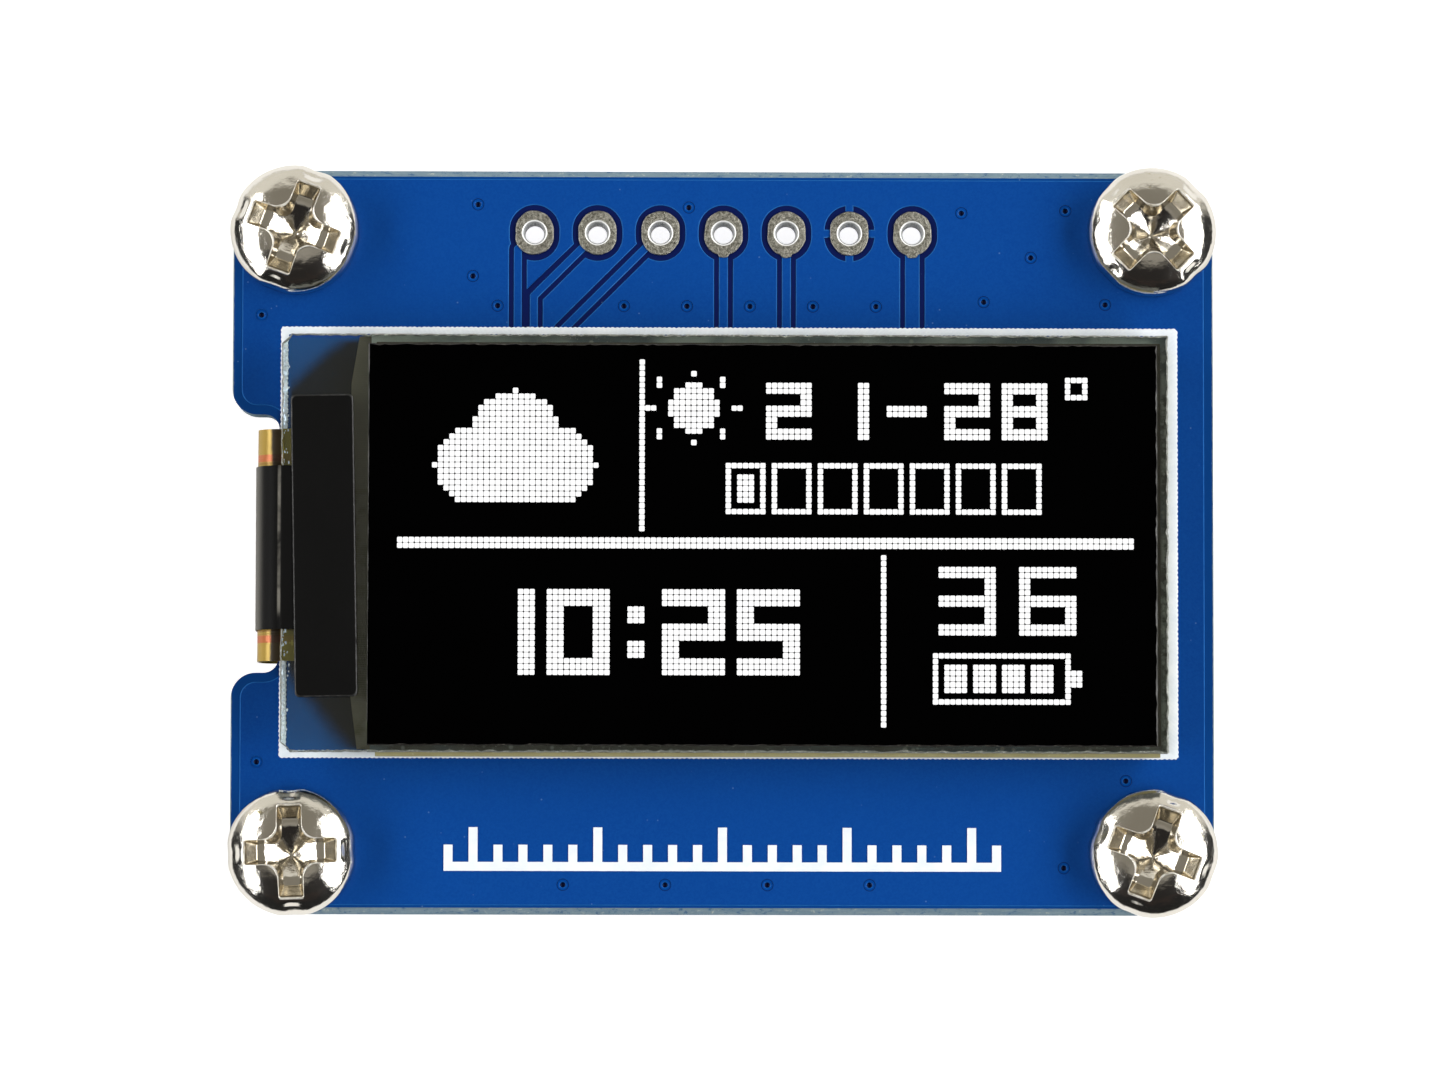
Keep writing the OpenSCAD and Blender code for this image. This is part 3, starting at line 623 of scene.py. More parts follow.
def board_outline_edges(level, drop):
    """Edges of the CAD board's mesh where a flat at that level meets a wall that goes down by the drop.

    Gives {corner: [way out of the copper, ...]} and the edges as pairs of corners."""
    mesh = nodes["circuit_board"].data

    def corner(v):
        co = mesh.vertices[v].co / MM
        return (round(co.x, 3), round(co.y, 3))

    ways, edges = {}, set()
    for face in mesh.polygons:
        if abs(face.normal.z) > 0.1:
            continue
        heights = [mesh.vertices[v].co.z / MM for v in face.vertices]
        if abs(max(heights) - level) > TOUCH or abs(max(heights) - min(heights) - drop) > TOUCH:
            continue
        way = Vector((face.normal.x, face.normal.y)).normalized()
        top = {corner(v) for v in face.vertices if abs(mesh.vertices[v].co.z / MM - level) < TOUCH}
        for c in top:
            ways.setdefault(c, []).append(way)
        if len(top) == 2:
            edges.add((min(top), max(top), (round(way.x, 3), round(way.y, 3))))
    return ways, edges


def mask_slopes():
    """The mask flows down every edge of the copper in a short slope, which catches the light."""
    profile = [(-0.012, 0.0012), (0.0, -0.002), (0.01, -0.01), (0.022, -0.023), (0.032, 0.0008 - COPPER_T)]
    ways, edges = board_outline_edges(board_hi.z, COPPER_T)
    b = Build()
    rows = {}
    for c, found in ways.items():
        mean = sum(found, Vector((0, 0)))
        if mean.length < 1e-6:
            continue
        mean.normalize()
        stretch = min(1 / max(mean.dot(found[0]), 0.5), 1.5)
        out = mean * stretch
        rows[c] = b.ring([(c[0] + out.x * d, c[1] + out.y * d, board_hi.z + z) for d, z in profile])
    for p, q, way in edges:
        if p not in rows or q not in rows:
            continue
        left = Vector((q[0] - p[0], q[1] - p[1])).cross(Vector(way)) > 0
        a, c = (rows[p], rows[q]) if not left else (rows[q], rows[p])
        b.join(a, c, closed=False)
    return b.piece("mask_slopes", mask_edge, "board", angle=80, closed=False)


def via_dimples():
    """Each via's mouth as a small dimple in the mask."""
    mesh = nodes["circuit_board"].data
    floors = {}
    for v in mesh.vertices:
        if abs(v.co.z / MM - (board_hi.z - VIA_DEPTH)) < TOUCH / 2:
            p = v.co / MM
            near = [c for c in floors if math.hypot(c[0] - p.x, c[1] - p.y) < 0.4]
            floors.setdefault(near[0] if near else (p.x, p.y), []).append((p.x, p.y))
    profile = [
        (0.05, -0.1), (0.09, -0.08), (0.11, -0.045), (0.128, -0.02), (0.15, -0.007), (0.18, -0.001), (0.222, 0.0012),
    ]
    b = Build()
    for found in floors.values():
        x = (min(p[0] for p in found) + max(p[0] for p in found)) / 2
        y = (min(p[1] for p in found) + max(p[1] for p in found)) / 2
        numbers = b.loft([circle(x, y, r, board_hi.z + z, 28) for r, z in profile])
        b.face(reversed(numbers[0]))
    return b.piece("via_dimples", via, "board", angle=80)


def wobble(x, y, seed, size):
    """Small smooth unevenness of an edge, from a few waves."""
    s = 0.0
    for i, period in enumerate((0.19, 0.47, 1.3)):
        s += math.sin(TAU * (x + y) / period + seed * 1.7 + i) / (i * 2 + 1)
    return s * size


def round_rect(lo, hi, r, pitch):
    """Closed outline of a rectangle with round corners, anticlockwise, with a point each pitch."""
    points = []
    arcs = corner_arcs(lo[0], lo[1], hi[0], hi[1], r, 6)
    for k, corner in enumerate(arcs):
        start, end = corner[-1], arcs[(k + 1) % 4][0]
        n = max(1, round(math.dist(start, end) / pitch))
        side = [(lerp(start[0], end[0], i / n), lerp(start[1], end[1], i / n)) for i in range(1, n)]
        points += corner + side
    return points


def printed_frame():
    """The white frame round the panel, with the fine scallops of screen printing along its edges."""
    line = 0.3
    right_line = 0.42  # wider where it runs in under the glass
    thick = 0.028
    inset = 0.012  # room for the scallops inside the CAD's line
    lo = Vector((print_lo.x + inset, print_lo.y + inset))
    hi = Vector((print_hi.x - inset, print_hi.y - inset))
    # The inner outline takes its points from the outer one, so that they join point by point
    centre, half = (lo + hi) / 2, (hi - lo) / 2
    inner_centre = centre - Vector(((right_line - line) / 2, 0))
    inner_half = half - Vector(((line + right_line) / 2, line))
    outer = round_rect(lo, hi, 0.12, 0.04)
    shrink_x, shrink_y = inner_half.x / half.x, inner_half.y / half.y
    inner = [(inner_centre.x + (x - centre.x) * shrink_x, inner_centre.y + (y - centre.y) * shrink_y) for x, y in outer]
    outer, inner = (
        pushed(loop, lambda x, y: min(wobble(x, y, seed, 0.016), inset)) for seed, loop in ((1, outer), (2, inner))
    )
    # From the outer foot over two rounded edges to the inner foot: (outline, way out, share of the thickness)
    walk = [
        (outer, 0, 0), (outer, -0.008, 0.7), (outer, -0.03, 1), (inner, 0.03, 1), (inner, 0.008, 0.7), (inner, 0, 0),
    ]
    b = Build()
    b.loft([
        [(x, y, board_hi.z + max(thick * share, 0.001)) for x, y in pushed(loop, lambda *_: out)]
        for loop, out, share in walk
    ])
    return b.piece("display_frame_ink", ink, "print", replaces="display_frame_print", angle=60)


def header_solder(i, node):
    """One plated hole: domed solder on an oval land at each face, and a wall that narrows a little inside."""
    lo, hi = box(node)
    cx, cy = (lo.x + hi.x) / 2, (lo.y + hi.y) / 2
    w, l = hi.x - lo.x, hi.y - lo.y
    rng = random.Random(40 + i)
    phases = [rng.uniform(0, TAU) for _ in range(3)]
    count = 96
    tabbed = i in (4, 5, 7)

    def outline(a):
        """Reach of the oval from its middle at an angle, with the small tab over the track."""
        dx, dy = math.cos(a), math.sin(a)
        r, half = w / 2, (l - w) / 2
        # Ray from the middle to the oval: its straight sides, or the circle at one end
        if abs(dx) > 1e-9 and abs(dy / dx) * r <= half:
            reach = r / abs(dx)
        else:
            s = 1 if dy > 0 else -1
            p = half * s
            reach = dy * p + math.sqrt(max(0, (dy * p) ** 2 - p * p + r * r))
        reach += 0.012 * math.sin(3 * a + phases[0]) + 0.008 * math.sin(7 * a + phases[1])
        reach = min(reach, abs((w / 2) / dx) if abs(dx) > 1e-9 else 9, abs((l / 2) / dy) if abs(dy) > 1e-9 else 9)
        if tabbed:
            # The solder runs a little way down over the track
            off = abs((a - math.radians(270) + math.pi) % TAU - math.pi)
            reach += 0.11 * smooth_step((0.25 - off) / 0.08)
        return reach

    rise = hi.z - board_hi.z
    # Share of the way from the hole to the outline, and share of the rise
    dome = [(1.0, 0.0), (0.99, 0.5), (0.955, 0.84), (0.88, 0.97), (0.55, 1.0), (0.25, 0.99), (0.1, 0.97), (0.02, 0.93)]
    # Lip and wall of the hole: radius, and height above the face in rises
    wall = [
        (0.51, 0.9), (0.49, 0.76), (0.472, 0.5), (0.46, 0.1), (0.452, -0.8), (0.435, -2.4), (0.41, -4.4),
        (0.385, -6.8), (0.378, -9.2), (0.38, -12.5),
    ]
    b = Build()
    rings = []
    for side in (1, -1):
        face = board_hi.z if side > 0 else board_lo.z
        half = []
        for share, height in dome:
            ring = []
            for k in range(count):
                a = TAU * k / count
                bumpy = 1 + 0.06 * math.sin(2 * a + phases[2] + side)
                r = lerp(HOLE_R + 0.015, outline(a), share)
                z = face + side * rise * min(1.0, height * bumpy)
                ring.append((cx + r * math.cos(a), cy + r * math.sin(a), z))
            half.append(ring)
        rings.append(half + [circle(cx, cy, r, face + side * rise * z, count) for r, z in wall])
    walk = rings[0] + rings[1][::-1]
    numbers = [b.ring(ring) for ring in walk]
    inner = len(dome)
    for k, (above, below) in enumerate(zip(numbers, numbers[1:])):
        b.join(above, below, 1 if inner <= k < len(walk) - inner - 1 else 0)
    return b.piece(f"header_solder_{i}", [solder, barrel], "solder", replaces=node, angle=60)


mask_slopes()
via_dimples()
printed_frame()
coat("scale_print", ink)
coat("back_print", ink)
for number in range(1, 8):
    header_solder(number, f"header_land_{number}")


# ---- Display panel ----


def ragged_outline(lo, hi, cuts, pitch, seed, rough):
    """Outline of a plate with cut corners, anticlockwise from the lower left, with small random nicks."""
    rng = random.Random(seed)
    c_ll, c_lr, c_ur, c_ul = cuts
    corners = [
        (lo[0] + c_ll, lo[1]), (hi[0] - c_lr, lo[1]), (hi[0], lo[1] + c_lr), (hi[0], hi[1] - c_ur),
        (hi[0] - c_ur, hi[1]), (lo[0] + c_ul, hi[1]), (lo[0], hi[1] - c_ul), (lo[0], lo[1] + c_ll),
    ]
    corners = [p for i, p in enumerate(corners) if math.dist(p, corners[i - 1]) > 1e-6]
    out = []
    for i, start in enumerate(corners):
        end = corners[(i + 1) % len(corners)]
        t = (Vector(end) - Vector(start)).normalized()
        n = max(1, round(math.dist(start, end) / pitch))
        for k in range(n):
            d = -abs(rng.gauss(0, rough)) if 0 < k else 0.0
            out.append((lerp(start[0], end[0], k / n) + t.y * d, lerp(start[1], end[1], k / n) - t.x * d, t.y, -t.x))
    return out


def plate(name, outline, z0, z1, bevel, seed, materials, slot, replaces, low_bevel=0.0):
    """A plate with a ragged bevel round its top, and round its underside too if asked."""
    rng = random.Random(seed)
    b = Build()

    def inset(d, vary):
        def share():
            return d * rng.uniform(1 - vary, 1 + vary)

        return [(x - nx * share(), y - ny * share()) for x, y, nx, ny in outline]

    top = [(x, y, z1) for x, y in inset(bevel, 0.5)]
    side_top = [(x, y, z1 - bevel * rng.uniform(0.5, 1.0)) for x, y, _, _ in outline]
    low = [(x, y, z0 + low_bevel) for x, y, _, _ in outline]
    under = [(x, y, z0) for x, y in inset(low_bevel, 0.4)] if low_bevel else low
    rings = [top, side_top, low] + ([under] if low_bevel else [])
    numbers = b.loft(rings, material=1)
    b.face(reversed(numbers[0]), 0)
    b.face(numbers[-1], 0)
    b.faces = [f[::-1] for f in b.faces]
    return b.piece(name, materials, slot, replaces=replaces, angle=20)


def front_glass_plate():
    cut = 0.4
    outline = ragged_outline(
        (glass_lo.x, glass_lo.y), (glass_hi.x, glass_hi.y), (cut, 0.05, 0.05, cut), 0.17, 7, 0.02
    )
    return plate(
        "front_glass_plate", outline, glass_lo.z, glass_hi.z, 0.06, 8, [clear_glass, ground_glass], "front_glass",
        "front_glass", low_bevel=0.04,
    )


def polariser_sheet():
    outline = ragged_outline((film_lo.x, film_lo.y), (film_hi.x, film_hi.y), (0.02,) * 4, 0.21, 17, 0.008)
    return plate(
        "polariser_sheet", outline, film_lo.z + 0.004, film_hi.z, 0.05, 18, [polariser, film_edge], "polariser",
        "polariser",
    )


def under_glass(name, outlines, surface, slot, depth):
    """Thin printed or plated shapes on the underside of the front glass."""
    b = Build()
    z = glass_lo.z - depth
    for outline in outlines:
        top = b.ring([(x, y, z) for x, y in outline])
        low = b.ring([(x, y, z - 0.006) for x, y in outline])
        b.face(top)
        b.face(low[::-1])
        b.join(low, top)
    return b.piece(name, surface, slot, smooth=False)


def rim_band():
    """The seal shows as a speckled rim round the polariser, on three sides."""
    edge = 0.015
    x0, x1 = film_lo.x - 0.02, glass_hi.x - edge
    y0, y1 = glass_lo.y + edge, glass_hi.y - edge
    in_x, in_y0, in_y1 = film_hi.x - 0.3, film_lo.y + 0.3, film_hi.y - 0.3
    outlines = [
        [(x0, y0), (x1, y0), (x1, in_y0), (x0, in_y0)],
        [(in_x, in_y0), (x1, in_y0), (x1, in_y1), (in_x, in_y1)],
        [(x0, in_y1), (x1, in_y1), (x1, y1), (x0, y1)],
    ]
    return under_glass("rim_band", outlines, rim, "seal", 0.002)


def chipped_glass_surface():
    s = Surface("chipped_glass", 0.6)
    # Painted light: the splinters glow, standing in for light that scatters inside them
    s.set("Emission Color", srgb(226, 236, 246))
    s.set("Emission Strength", s.between(s.noise(0.5, 3), 0.0, 0.6))
    s.set("Base Color", s.mix(s.step(s.noise(0.14, 3, 0.7), 0.3, 0.55), srgb(170, 184, 196), srgb(244, 247, 250)))
    return s.bump((s.noise(0.08, 3), 0.01))


def glass_chips():
    """Along its left edge the front glass is splintered on its underside, with loose chips further in."""
    rng = random.Random(31)
    outlines = []
    pitch = 0.06
    y0, y1 = glass_lo.y + 0.42, glass_hi.y - 0.42
    for y_from, y_to, wide in ((y0, flex_lo.y, 0.13), (flex_hi.y, y1, 0.22)):
        n = round((y_to - y_from) / pitch)
        ys = [lerp(y_from, y_to, k / n) for k in range(n + 1)]
        far = [(glass_lo.x + wide + rng.uniform(-0.05, 0.05), y) for y in ys]
        outlines.append(far + [(glass_lo.x + 0.05, y) for y in ys[::-1]])
    for _ in range(190):
        y = rng.uniform(glass_lo.y + 0.5, glass_hi.y - 0.5)
        if flex_lo.y - 0.1 < y < flex_hi.y + 0.1 and rng.random() < 0.4:
            continue
        x = glass_lo.x + 0.06 + abs(rng.gauss(0, 0.13))
        size = rng.uniform(0.02, 0.06)
        count = rng.randint(4, 6)
        turn = rng.uniform(0, TAU)
        reaches = [size * rng.uniform(0.5, 1.2) for _ in range(count)]
        outlines.append([
            (x + 0.8 * d * math.cos(turn + TAU * k / count), y + 1.5 * d * math.sin(turn + TAU * k / count))
            for k, d in enumerate(reaches)
        ])
    return under_glass("glass_chips", outlines, chipped_glass_surface(), "front_glass", -0.012)


def ledge_traces():
    """Traces on the ledge fan out from the chip to the picture, with a slanting left edge."""
    x = film_lo.x
    outline = [
        (x - 0.38, glass_hi.y - 0.08), (x - 0.7, glass_hi.y - 2.0), (x - 0.7, glass_lo.y + 2.35),
        (x - 0.42, glass_lo.y + 0.12), (x + 0.1, glass_lo.y + 0.12), (x + 0.1, glass_hi.y - 0.08),
    ]
    return under_glass("ledge_traces", [outline[::-1]], traces, "front_glass", 0.001)


# ---- Picture: the same figures as the solid one, cell by cell ----

COLUMNS, ROWS = 128, 64
FIGURES = [
    (0, 1, 2, 3, 4, 5), (1, 2), (0, 1, 6, 4, 3), (0, 1, 6, 2, 3), (5, 6, 1, 2),
    (0, 5, 6, 2, 3), (0, 5, 6, 2, 3, 4), (0, 1, 2), (0, 1, 2, 3, 4, 5, 6), (0, 1, 2, 3, 5, 6),
]


class Picture:
    """Which cells are lit, with the shapes that part.scad draws."""

    def __init__(self):
        self.cells = set()

    def lit(self, col, row, w, h, on=True):
        for c in range(COLUMNS):
            for r in range(ROWS):
                if col <= c + 0.5 < col + w and row <= r + 0.5 < row + h:
                    (self.cells.add if on else self.cells.discard)((c, r))

    def lit_box(self, col, row, w, h, line):
        self.lit(col, row, w, h)
        self.lit(col + line, row + line, w - 2 * line, h - 2 * line, on=False)

    def disc(self, col, row, radius):
        for c in range(COLUMNS):
            for r in range(ROWS):
                if math.hypot(c + 0.5 - col, r + 0.5 - row) <= radius:
                    self.cells.add((c, r))

    def figure(self, n, col, row, w, h, line):
        half = (h - line) // 2
        boxes = [
            (0, 0, w, line), (w - line, 0, line, half + line), (w - line, half, line, h - half),
            (0, h - line, w, line), (0, half, line, h - half), (0, 0, line, half + line), (0, half, w, line),
        ]
        for s in FIGURES[n]:
            x, y, bw, bh = boxes[s]
            self.lit(col + x, row + y, bw, bh)


def home_screen():
    p = Picture()
    p.lit(0, 31, COLUMNS, 2)
    p.lit(42, 0, 1, 30)
    p.lit(84, 34, 1, 30)
    # Cloud
    for at in ((13, 18.5, 6.5), (20.5, 13.5, 8), (28, 18.5, 6.5)):
        p.disc(*at)
    p.lit(13, 17, 15, 8)
    # Sun with eight rays
    x, y = 51.5, 8.5
    p.disc(x, y, 4.4)
    for s in (-1, 1):
        p.lit(x + s * 7.5 - 1, y - 0.5, 2, 1)
        p.lit(x - 0.5, y + s * 6 - 0.5, 1, 1)
        for t in (-1, 1):
            p.lit(x + s * 5.5 - 0.5, y + t * 4.5 - 1, 1, 2)
    # Two temperatures with a dash between them, and a small ring
    for n, col in ((2, 64), (1, 74), (2, 95), (8, 105)):
        p.figure(n, col, 4, 8, 10, 2)
    p.lit(85, 8, 7, 2)
    p.lit_box(116, 3, 4, 4, 1)
    # Seven boxes, one of them filled
    for i in range(7):
        p.lit_box(57 + 8 * i, 18, 7, 9, 1)
    p.lit(59, 20, 3, 5)
    # Clock
    for n, col in ((1, 13), (0, 26), (2, 46), (5, 59)):
        p.figure(n, col, 40, 11, 15, 3)
    for row in (43, 49):
        p.lit(40, row, 3, 3)
    # Two figures over a filled bar
    for n, col in ((3, 94), (6, 108)):
        p.figure(n, col, 36, 10, 12, 2)
    p.lit_box(93, 51, 24, 9, 1)
    p.lit(117, 54, 2, 3)
    for i in range(4):
        p.lit(95 + 5 * i, 53, 4, 5)
    return p.cells


def lit_cells():
    """Each lit cell is its own small square with round corners, with a dark gap to the next."""
    width = picture_hi.x - picture_lo.x
    cell = width / (COLUMNS - 0.087)
    side, r = cell * 0.93, cell * 0.2
    top = picture_hi.y + (cell - side) / 2
    b = Build()
    z = picture_hi.z - 0.006
    rng = random.Random(5)
    for c, row in sorted(home_screen()):
        cx = picture_lo.x + (c + 0.5) * cell - (cell - side) / 2
        cy = top - (row + 0.5) * cell
        grow = rng.uniform(-0.003, 0.003)
        half = side / 2 + grow
        arcs = corner_arcs(cx - half, cy - half, cx + half, cy + half, r, 3)
        b.face(b.ring([(x, y, z) for corner in arcs for x, y in corner]))
    return b.piece("lit_cells", picture_surface(), "picture", replaces="lit_picture", smooth=False)


front_glass_plate()
polariser_sheet()
rim_band()
glass_chips()
ledge_traces()
lit_cells()


# ---- Flex tail, its joints, and the tape ----


def offset_path(path, d):
    """A path in X and Z moved to its right-hand side."""
    out = []
    for i, p in enumerate(path):
        before = (Vector(path[i]) - Vector(path[i - 1])).normalized() if i else None
        after = (Vector(path[i + 1]) - Vector(path[i])).normalized() if i + 1 < len(path) else None
        t = ((before or after) + (after or before)).normalized()
        out.append((p[0] + t.y * d, p[1] - t.x * d))
    return out


# The fold's sizes, as in part.scad
FLEX_T = 0.12
FOLD_R = 0.9
fold_x = flex_lo.x + FLEX_T / 2
fold_top = (fold_x + FOLD_R, flex_hi.z - FLEX_T / 2 - FOLD_R)
fold_low_r = 0.74
fold_low = (fold_x + fold_low_r, flex_lo.z + FLEX_T / 2 + fold_low_r)
flex_path = (
    [(glass_lo.x + 1.1, flex_hi.z - FLEX_T / 2), (glass_lo.x + 0.98, flex_hi.z - FLEX_T / 2)]
    + arc(*fold_top, FOLD_R, 90, 180, 28)
    + arc(*fold_low, fold_low_r, 180, 270, 24)
    + [(lerp(fold_low[0], flex_hi.x, i / 6), flex_lo.z + FLEX_T / 2) for i in range(1, 7)]
)


def band(b, path, d0, d1, ys, wave, top_material=0, edge_material=0):
    """A band along a path, with columns at the given Y, and a small wave in its left-hand face."""
    outer, inner = offset_path(path, d0), offset_path(path, d1)
    rows = []
    for (ox, oz), (ix, iz) in zip(outer, inner):
        row_out = [(ox, y, oz) for y in ys]
        row_in = [(lerp(ix, ox, wave(ix, iz, y)), y, lerp(iz, oz, wave(ix, iz, y))) for y in ys[::-1]]
        rows.append((row_out, row_in))
    n = len(ys)
    numbers = [b.ring(a + c) for a, c in rows]
    for a, c in zip(numbers, numbers[1:]):
        for i in range(2 * n):
            j = (i + 1) % (2 * n)
            b.face((a[i], a[j], c[j], c[i]), edge_material if i in (n - 1, 2 * n - 1) else top_material)
    b.face(numbers[0][::-1], edge_material)
    b.face(numbers[-1], edge_material)


def flex_band():
    ys = [lerp(flex_lo.y, flex_hi.y, i / 40) for i in range(41)]
    b = Build()
    band(b, flex_path, -FLEX_T / 2, FLEX_T / 2, ys, lambda x, z, y: 0.07 + 0.03 * math.sin(y * 2.1 + z * 3))
    return b.piece("flex_band", flex, "flex", replaces="flex_tail", angle=50)


def alignment_marks():
    """Small gilt crosses on the tail's bond, seen through the ledge."""
    b = Build()
    gilt = Surface("gilt_mark", 0.3, Base_Color=srgb(222, 196, 96), Metallic=0.7)
    gilt.set("Roughness", gilt.between(gilt.noise(0.1, 3), 0.2, 0.5))
    z = glass_lo.z - 0.0015
    for y in (flex_hi.y - 0.35, flex_lo.y + 0.72):
        x = glass_lo.x + 0.46
        for w, h in ((0.07, 0.24), (0.24, 0.07)):
            b.face(b.ring([(x + sx * w / 2, y + sy * h / 2, z) for sx, sy in ((-1, -1), (1, -1), (1, 1), (-1, 1))]))
            z -= 0.0006
    return b.piece("alignment_marks", gilt.material, "flex", smooth=False)


def soldered_joints():
    """A row of small solder joints that holds the tail's end to the back of the board."""
    lo, hi = box("flex_joints")
    count = 20
    pitch = (hi.y - lo.y - 0.24) / (count - 1)
    cx = (lo.x + hi.x) / 2
    b = Build()
    for i in range(count):
        y = lo.y + 0.12 + i * pitch
        rings = []
        for share in (0.0, 0.35, 0.7, 0.92, 1.0):
            z = lerp(hi.z, lo.z, math.sin(share * math.pi / 2) ** 1.2)
            shrink = math.cos(share * math.pi / 2) ** 0.6 * 0.9 + 0.1
            w, l = 0.12 * shrink, (hi.x - lo.x) / 2 * (0.35 + 0.65 * shrink)
            rings.append([
                (cx + l * math.copysign(abs(u) ** 0.5, u), y + w * math.copysign(abs(v) ** 0.7, v), z)
                for u, v, _ in circle(0, 0, 1, 0, 24)
            ])
        numbers = b.loft(rings)
        b.face(numbers[-1])
    return b.piece("soldered_joints", solder, "solder", replaces="flex_joints", angle=70)


def tape_sheet():
    """Black tape: a head on the ledge, and a stem that bends over the glass's edge and down the fold."""
    thick = 0.1
    head_w, head_l, turn = 2.5, 12.1, math.radians(1.1)
    cx, cy = glass_lo.x + 1.74, (glass_lo.y + glass_hi.y) / 2 - 0.13
    b = Build()
    rng = random.Random(12)

    def turned(x, y):
        return cx + x * math.cos(turn) - y * math.sin(turn), cy + x * math.sin(turn) + y * math.cos(turn)

    outline = round_rect((-head_w / 2, -head_l / 2), (head_w / 2, head_l / 2), 0.2, 0.22)
    z0, z1 = glass_hi.z, glass_hi.z + thick

    def ring(inset, z, rough=0.0):
        out = []
        for x, y in outline:
            k = 1 - inset / (head_w / 2), 1 - inset / (head_l / 2)
            px, py = turned(x * k[0], y * k[1])
            out.append((px + rng.gauss(0, rough), py + rng.gauss(0, rough), z))
        return out

    rings = [ring(0, z0 + 0.002, 0.004), ring(0.0, z1 - 0.035, 0.004), ring(0.025, z1 - 0.008, 0.004), ring(0.06, z1)]
    numbers = b.loft(rings, material=1)
    b.face(numbers[-1], 0)
    b.face(numbers[0][::-1], 0)

    stem_y = cy - 0.07
    stem_w = 6.55
    # From the head it lies on the glass, dips a little at the glass's edge, and rounds down to the fold
    stem_t = 0.05
    outer_x = flex_lo.x - 0.02
    start = cx - head_w / 2 + 0.16
    path = [(start, glass_hi.z), (lerp(start, glass_lo.x, 0.5), glass_hi.z), (glass_lo.x + 0.1, glass_hi.z)]
    bend_x, bend_z = glass_lo.x - 0.05, glass_hi.z - 0.06
    path += [(glass_lo.x + 0.03, glass_hi.z - 0.012), (bend_x, bend_z)]
    for x, z in arc(0, 0, 1, 90, 180, 18)[1:]:
        path.append((bend_x + (bend_x - outer_x) * x, fold_top[1] + (bend_z - fold_top[1]) * z))
    path += [(outer_x, lerp(fold_top[1], fold_low[1], t)) for t in (0.5, 1.0)]
    ys = [stem_y - stem_w / 2 + stem_w * i / 44 for i in range(45)]
    ys = [ys[0], ys[0] + 0.03] + ys[1:-1] + [ys[-1] - 0.03, ys[-1]]

    def wave(x, z, y):
        crease = 0.05 * math.sin(y * 1.9 + 1) + 0.04 * math.sin(y * 5.3 + x * 4)
        at_side = 0.25 if min(y - ys[0], ys[-1] - y) < 0.02 else 0.0
        return 0.06 + max(0.0, crease) + at_side

    band(b, path, stem_t, 0.0, ys, wave, 0, 1)
    return b.piece("tape_sheet", [tape, tape_edge], "tape", replaces="shield_tape", angle=50)


flex_band()
alignment_marks()
soldered_joints()
tape_sheet()


# ---- Screws and standoffs ----

HEAD_R, HEAD_H = 2.59, 2.0
CROWN_R = 3.6  # the crown is a sphere as far as its rim, which rounds over to the upright side
RIM_R = 0.62
RIM_TILT = math.asin((HEAD_R - RIM_R) / (CROWN_R - RIM_R))
CROWN_END = CROWN_R * math.sin(RIM_TILT)


def crown(r):
    """Height of the crown above the board at a distance from the screw's axis."""
    return HEAD_H - CROWN_R + math.sqrt(CROWN_R**2 - r * r)


def cross_outline(depth):
    """Reach of the cross recess by angle: [(angle, reach), ...], at a depth from 0 at the crown to 1 at the floor."""
    tip = lerp(1.84, 1.38, depth)
    half = lerp(0.49, 0.345, depth)
    inner_r = lerp(0.53, 0.51, depth)
    tip_r = 0.09
    bend = half + inner_r
    # Half of the wing's end, its corner, its side, and the round to the next wing
    quarter = [(tip, (half - tip_r) * t) for t in (0.0, 0.35, 0.7)]
    quarter += arc(tip - tip_r, half - tip_r, tip_r, 0, 90, 5)
    quarter += [(lerp(tip - tip_r, bend, t), half) for t in (0.2, 0.45, 0.7, 0.9)]
    quarter += arc(bend, bend, inner_r, 270, 225, 8)
    quarter += [(y, x) for x, y in quarter[-2:0:-1]]
    out = []
    for k in range(4):
        for x, y in quarter:
            a = math.atan2(y, x) + k * math.pi / 2
            out.append((a, math.hypot(x, y)))
    return out


def thread_ring(cx, cy, z, along, radius, count):
    """Ring of a thread at a way along it, where radius(tooth) takes the tooth's height there, from 0 to 1."""
    ring = []
    for i in range(count):
        a = TAU * i / count
        r = radius(abs((along / THREAD_PITCH - i / count) % 1.0 * 2 - 1))
        ring.append((cx + r * math.cos(a), cy + r * math.sin(a), z))
    return ring


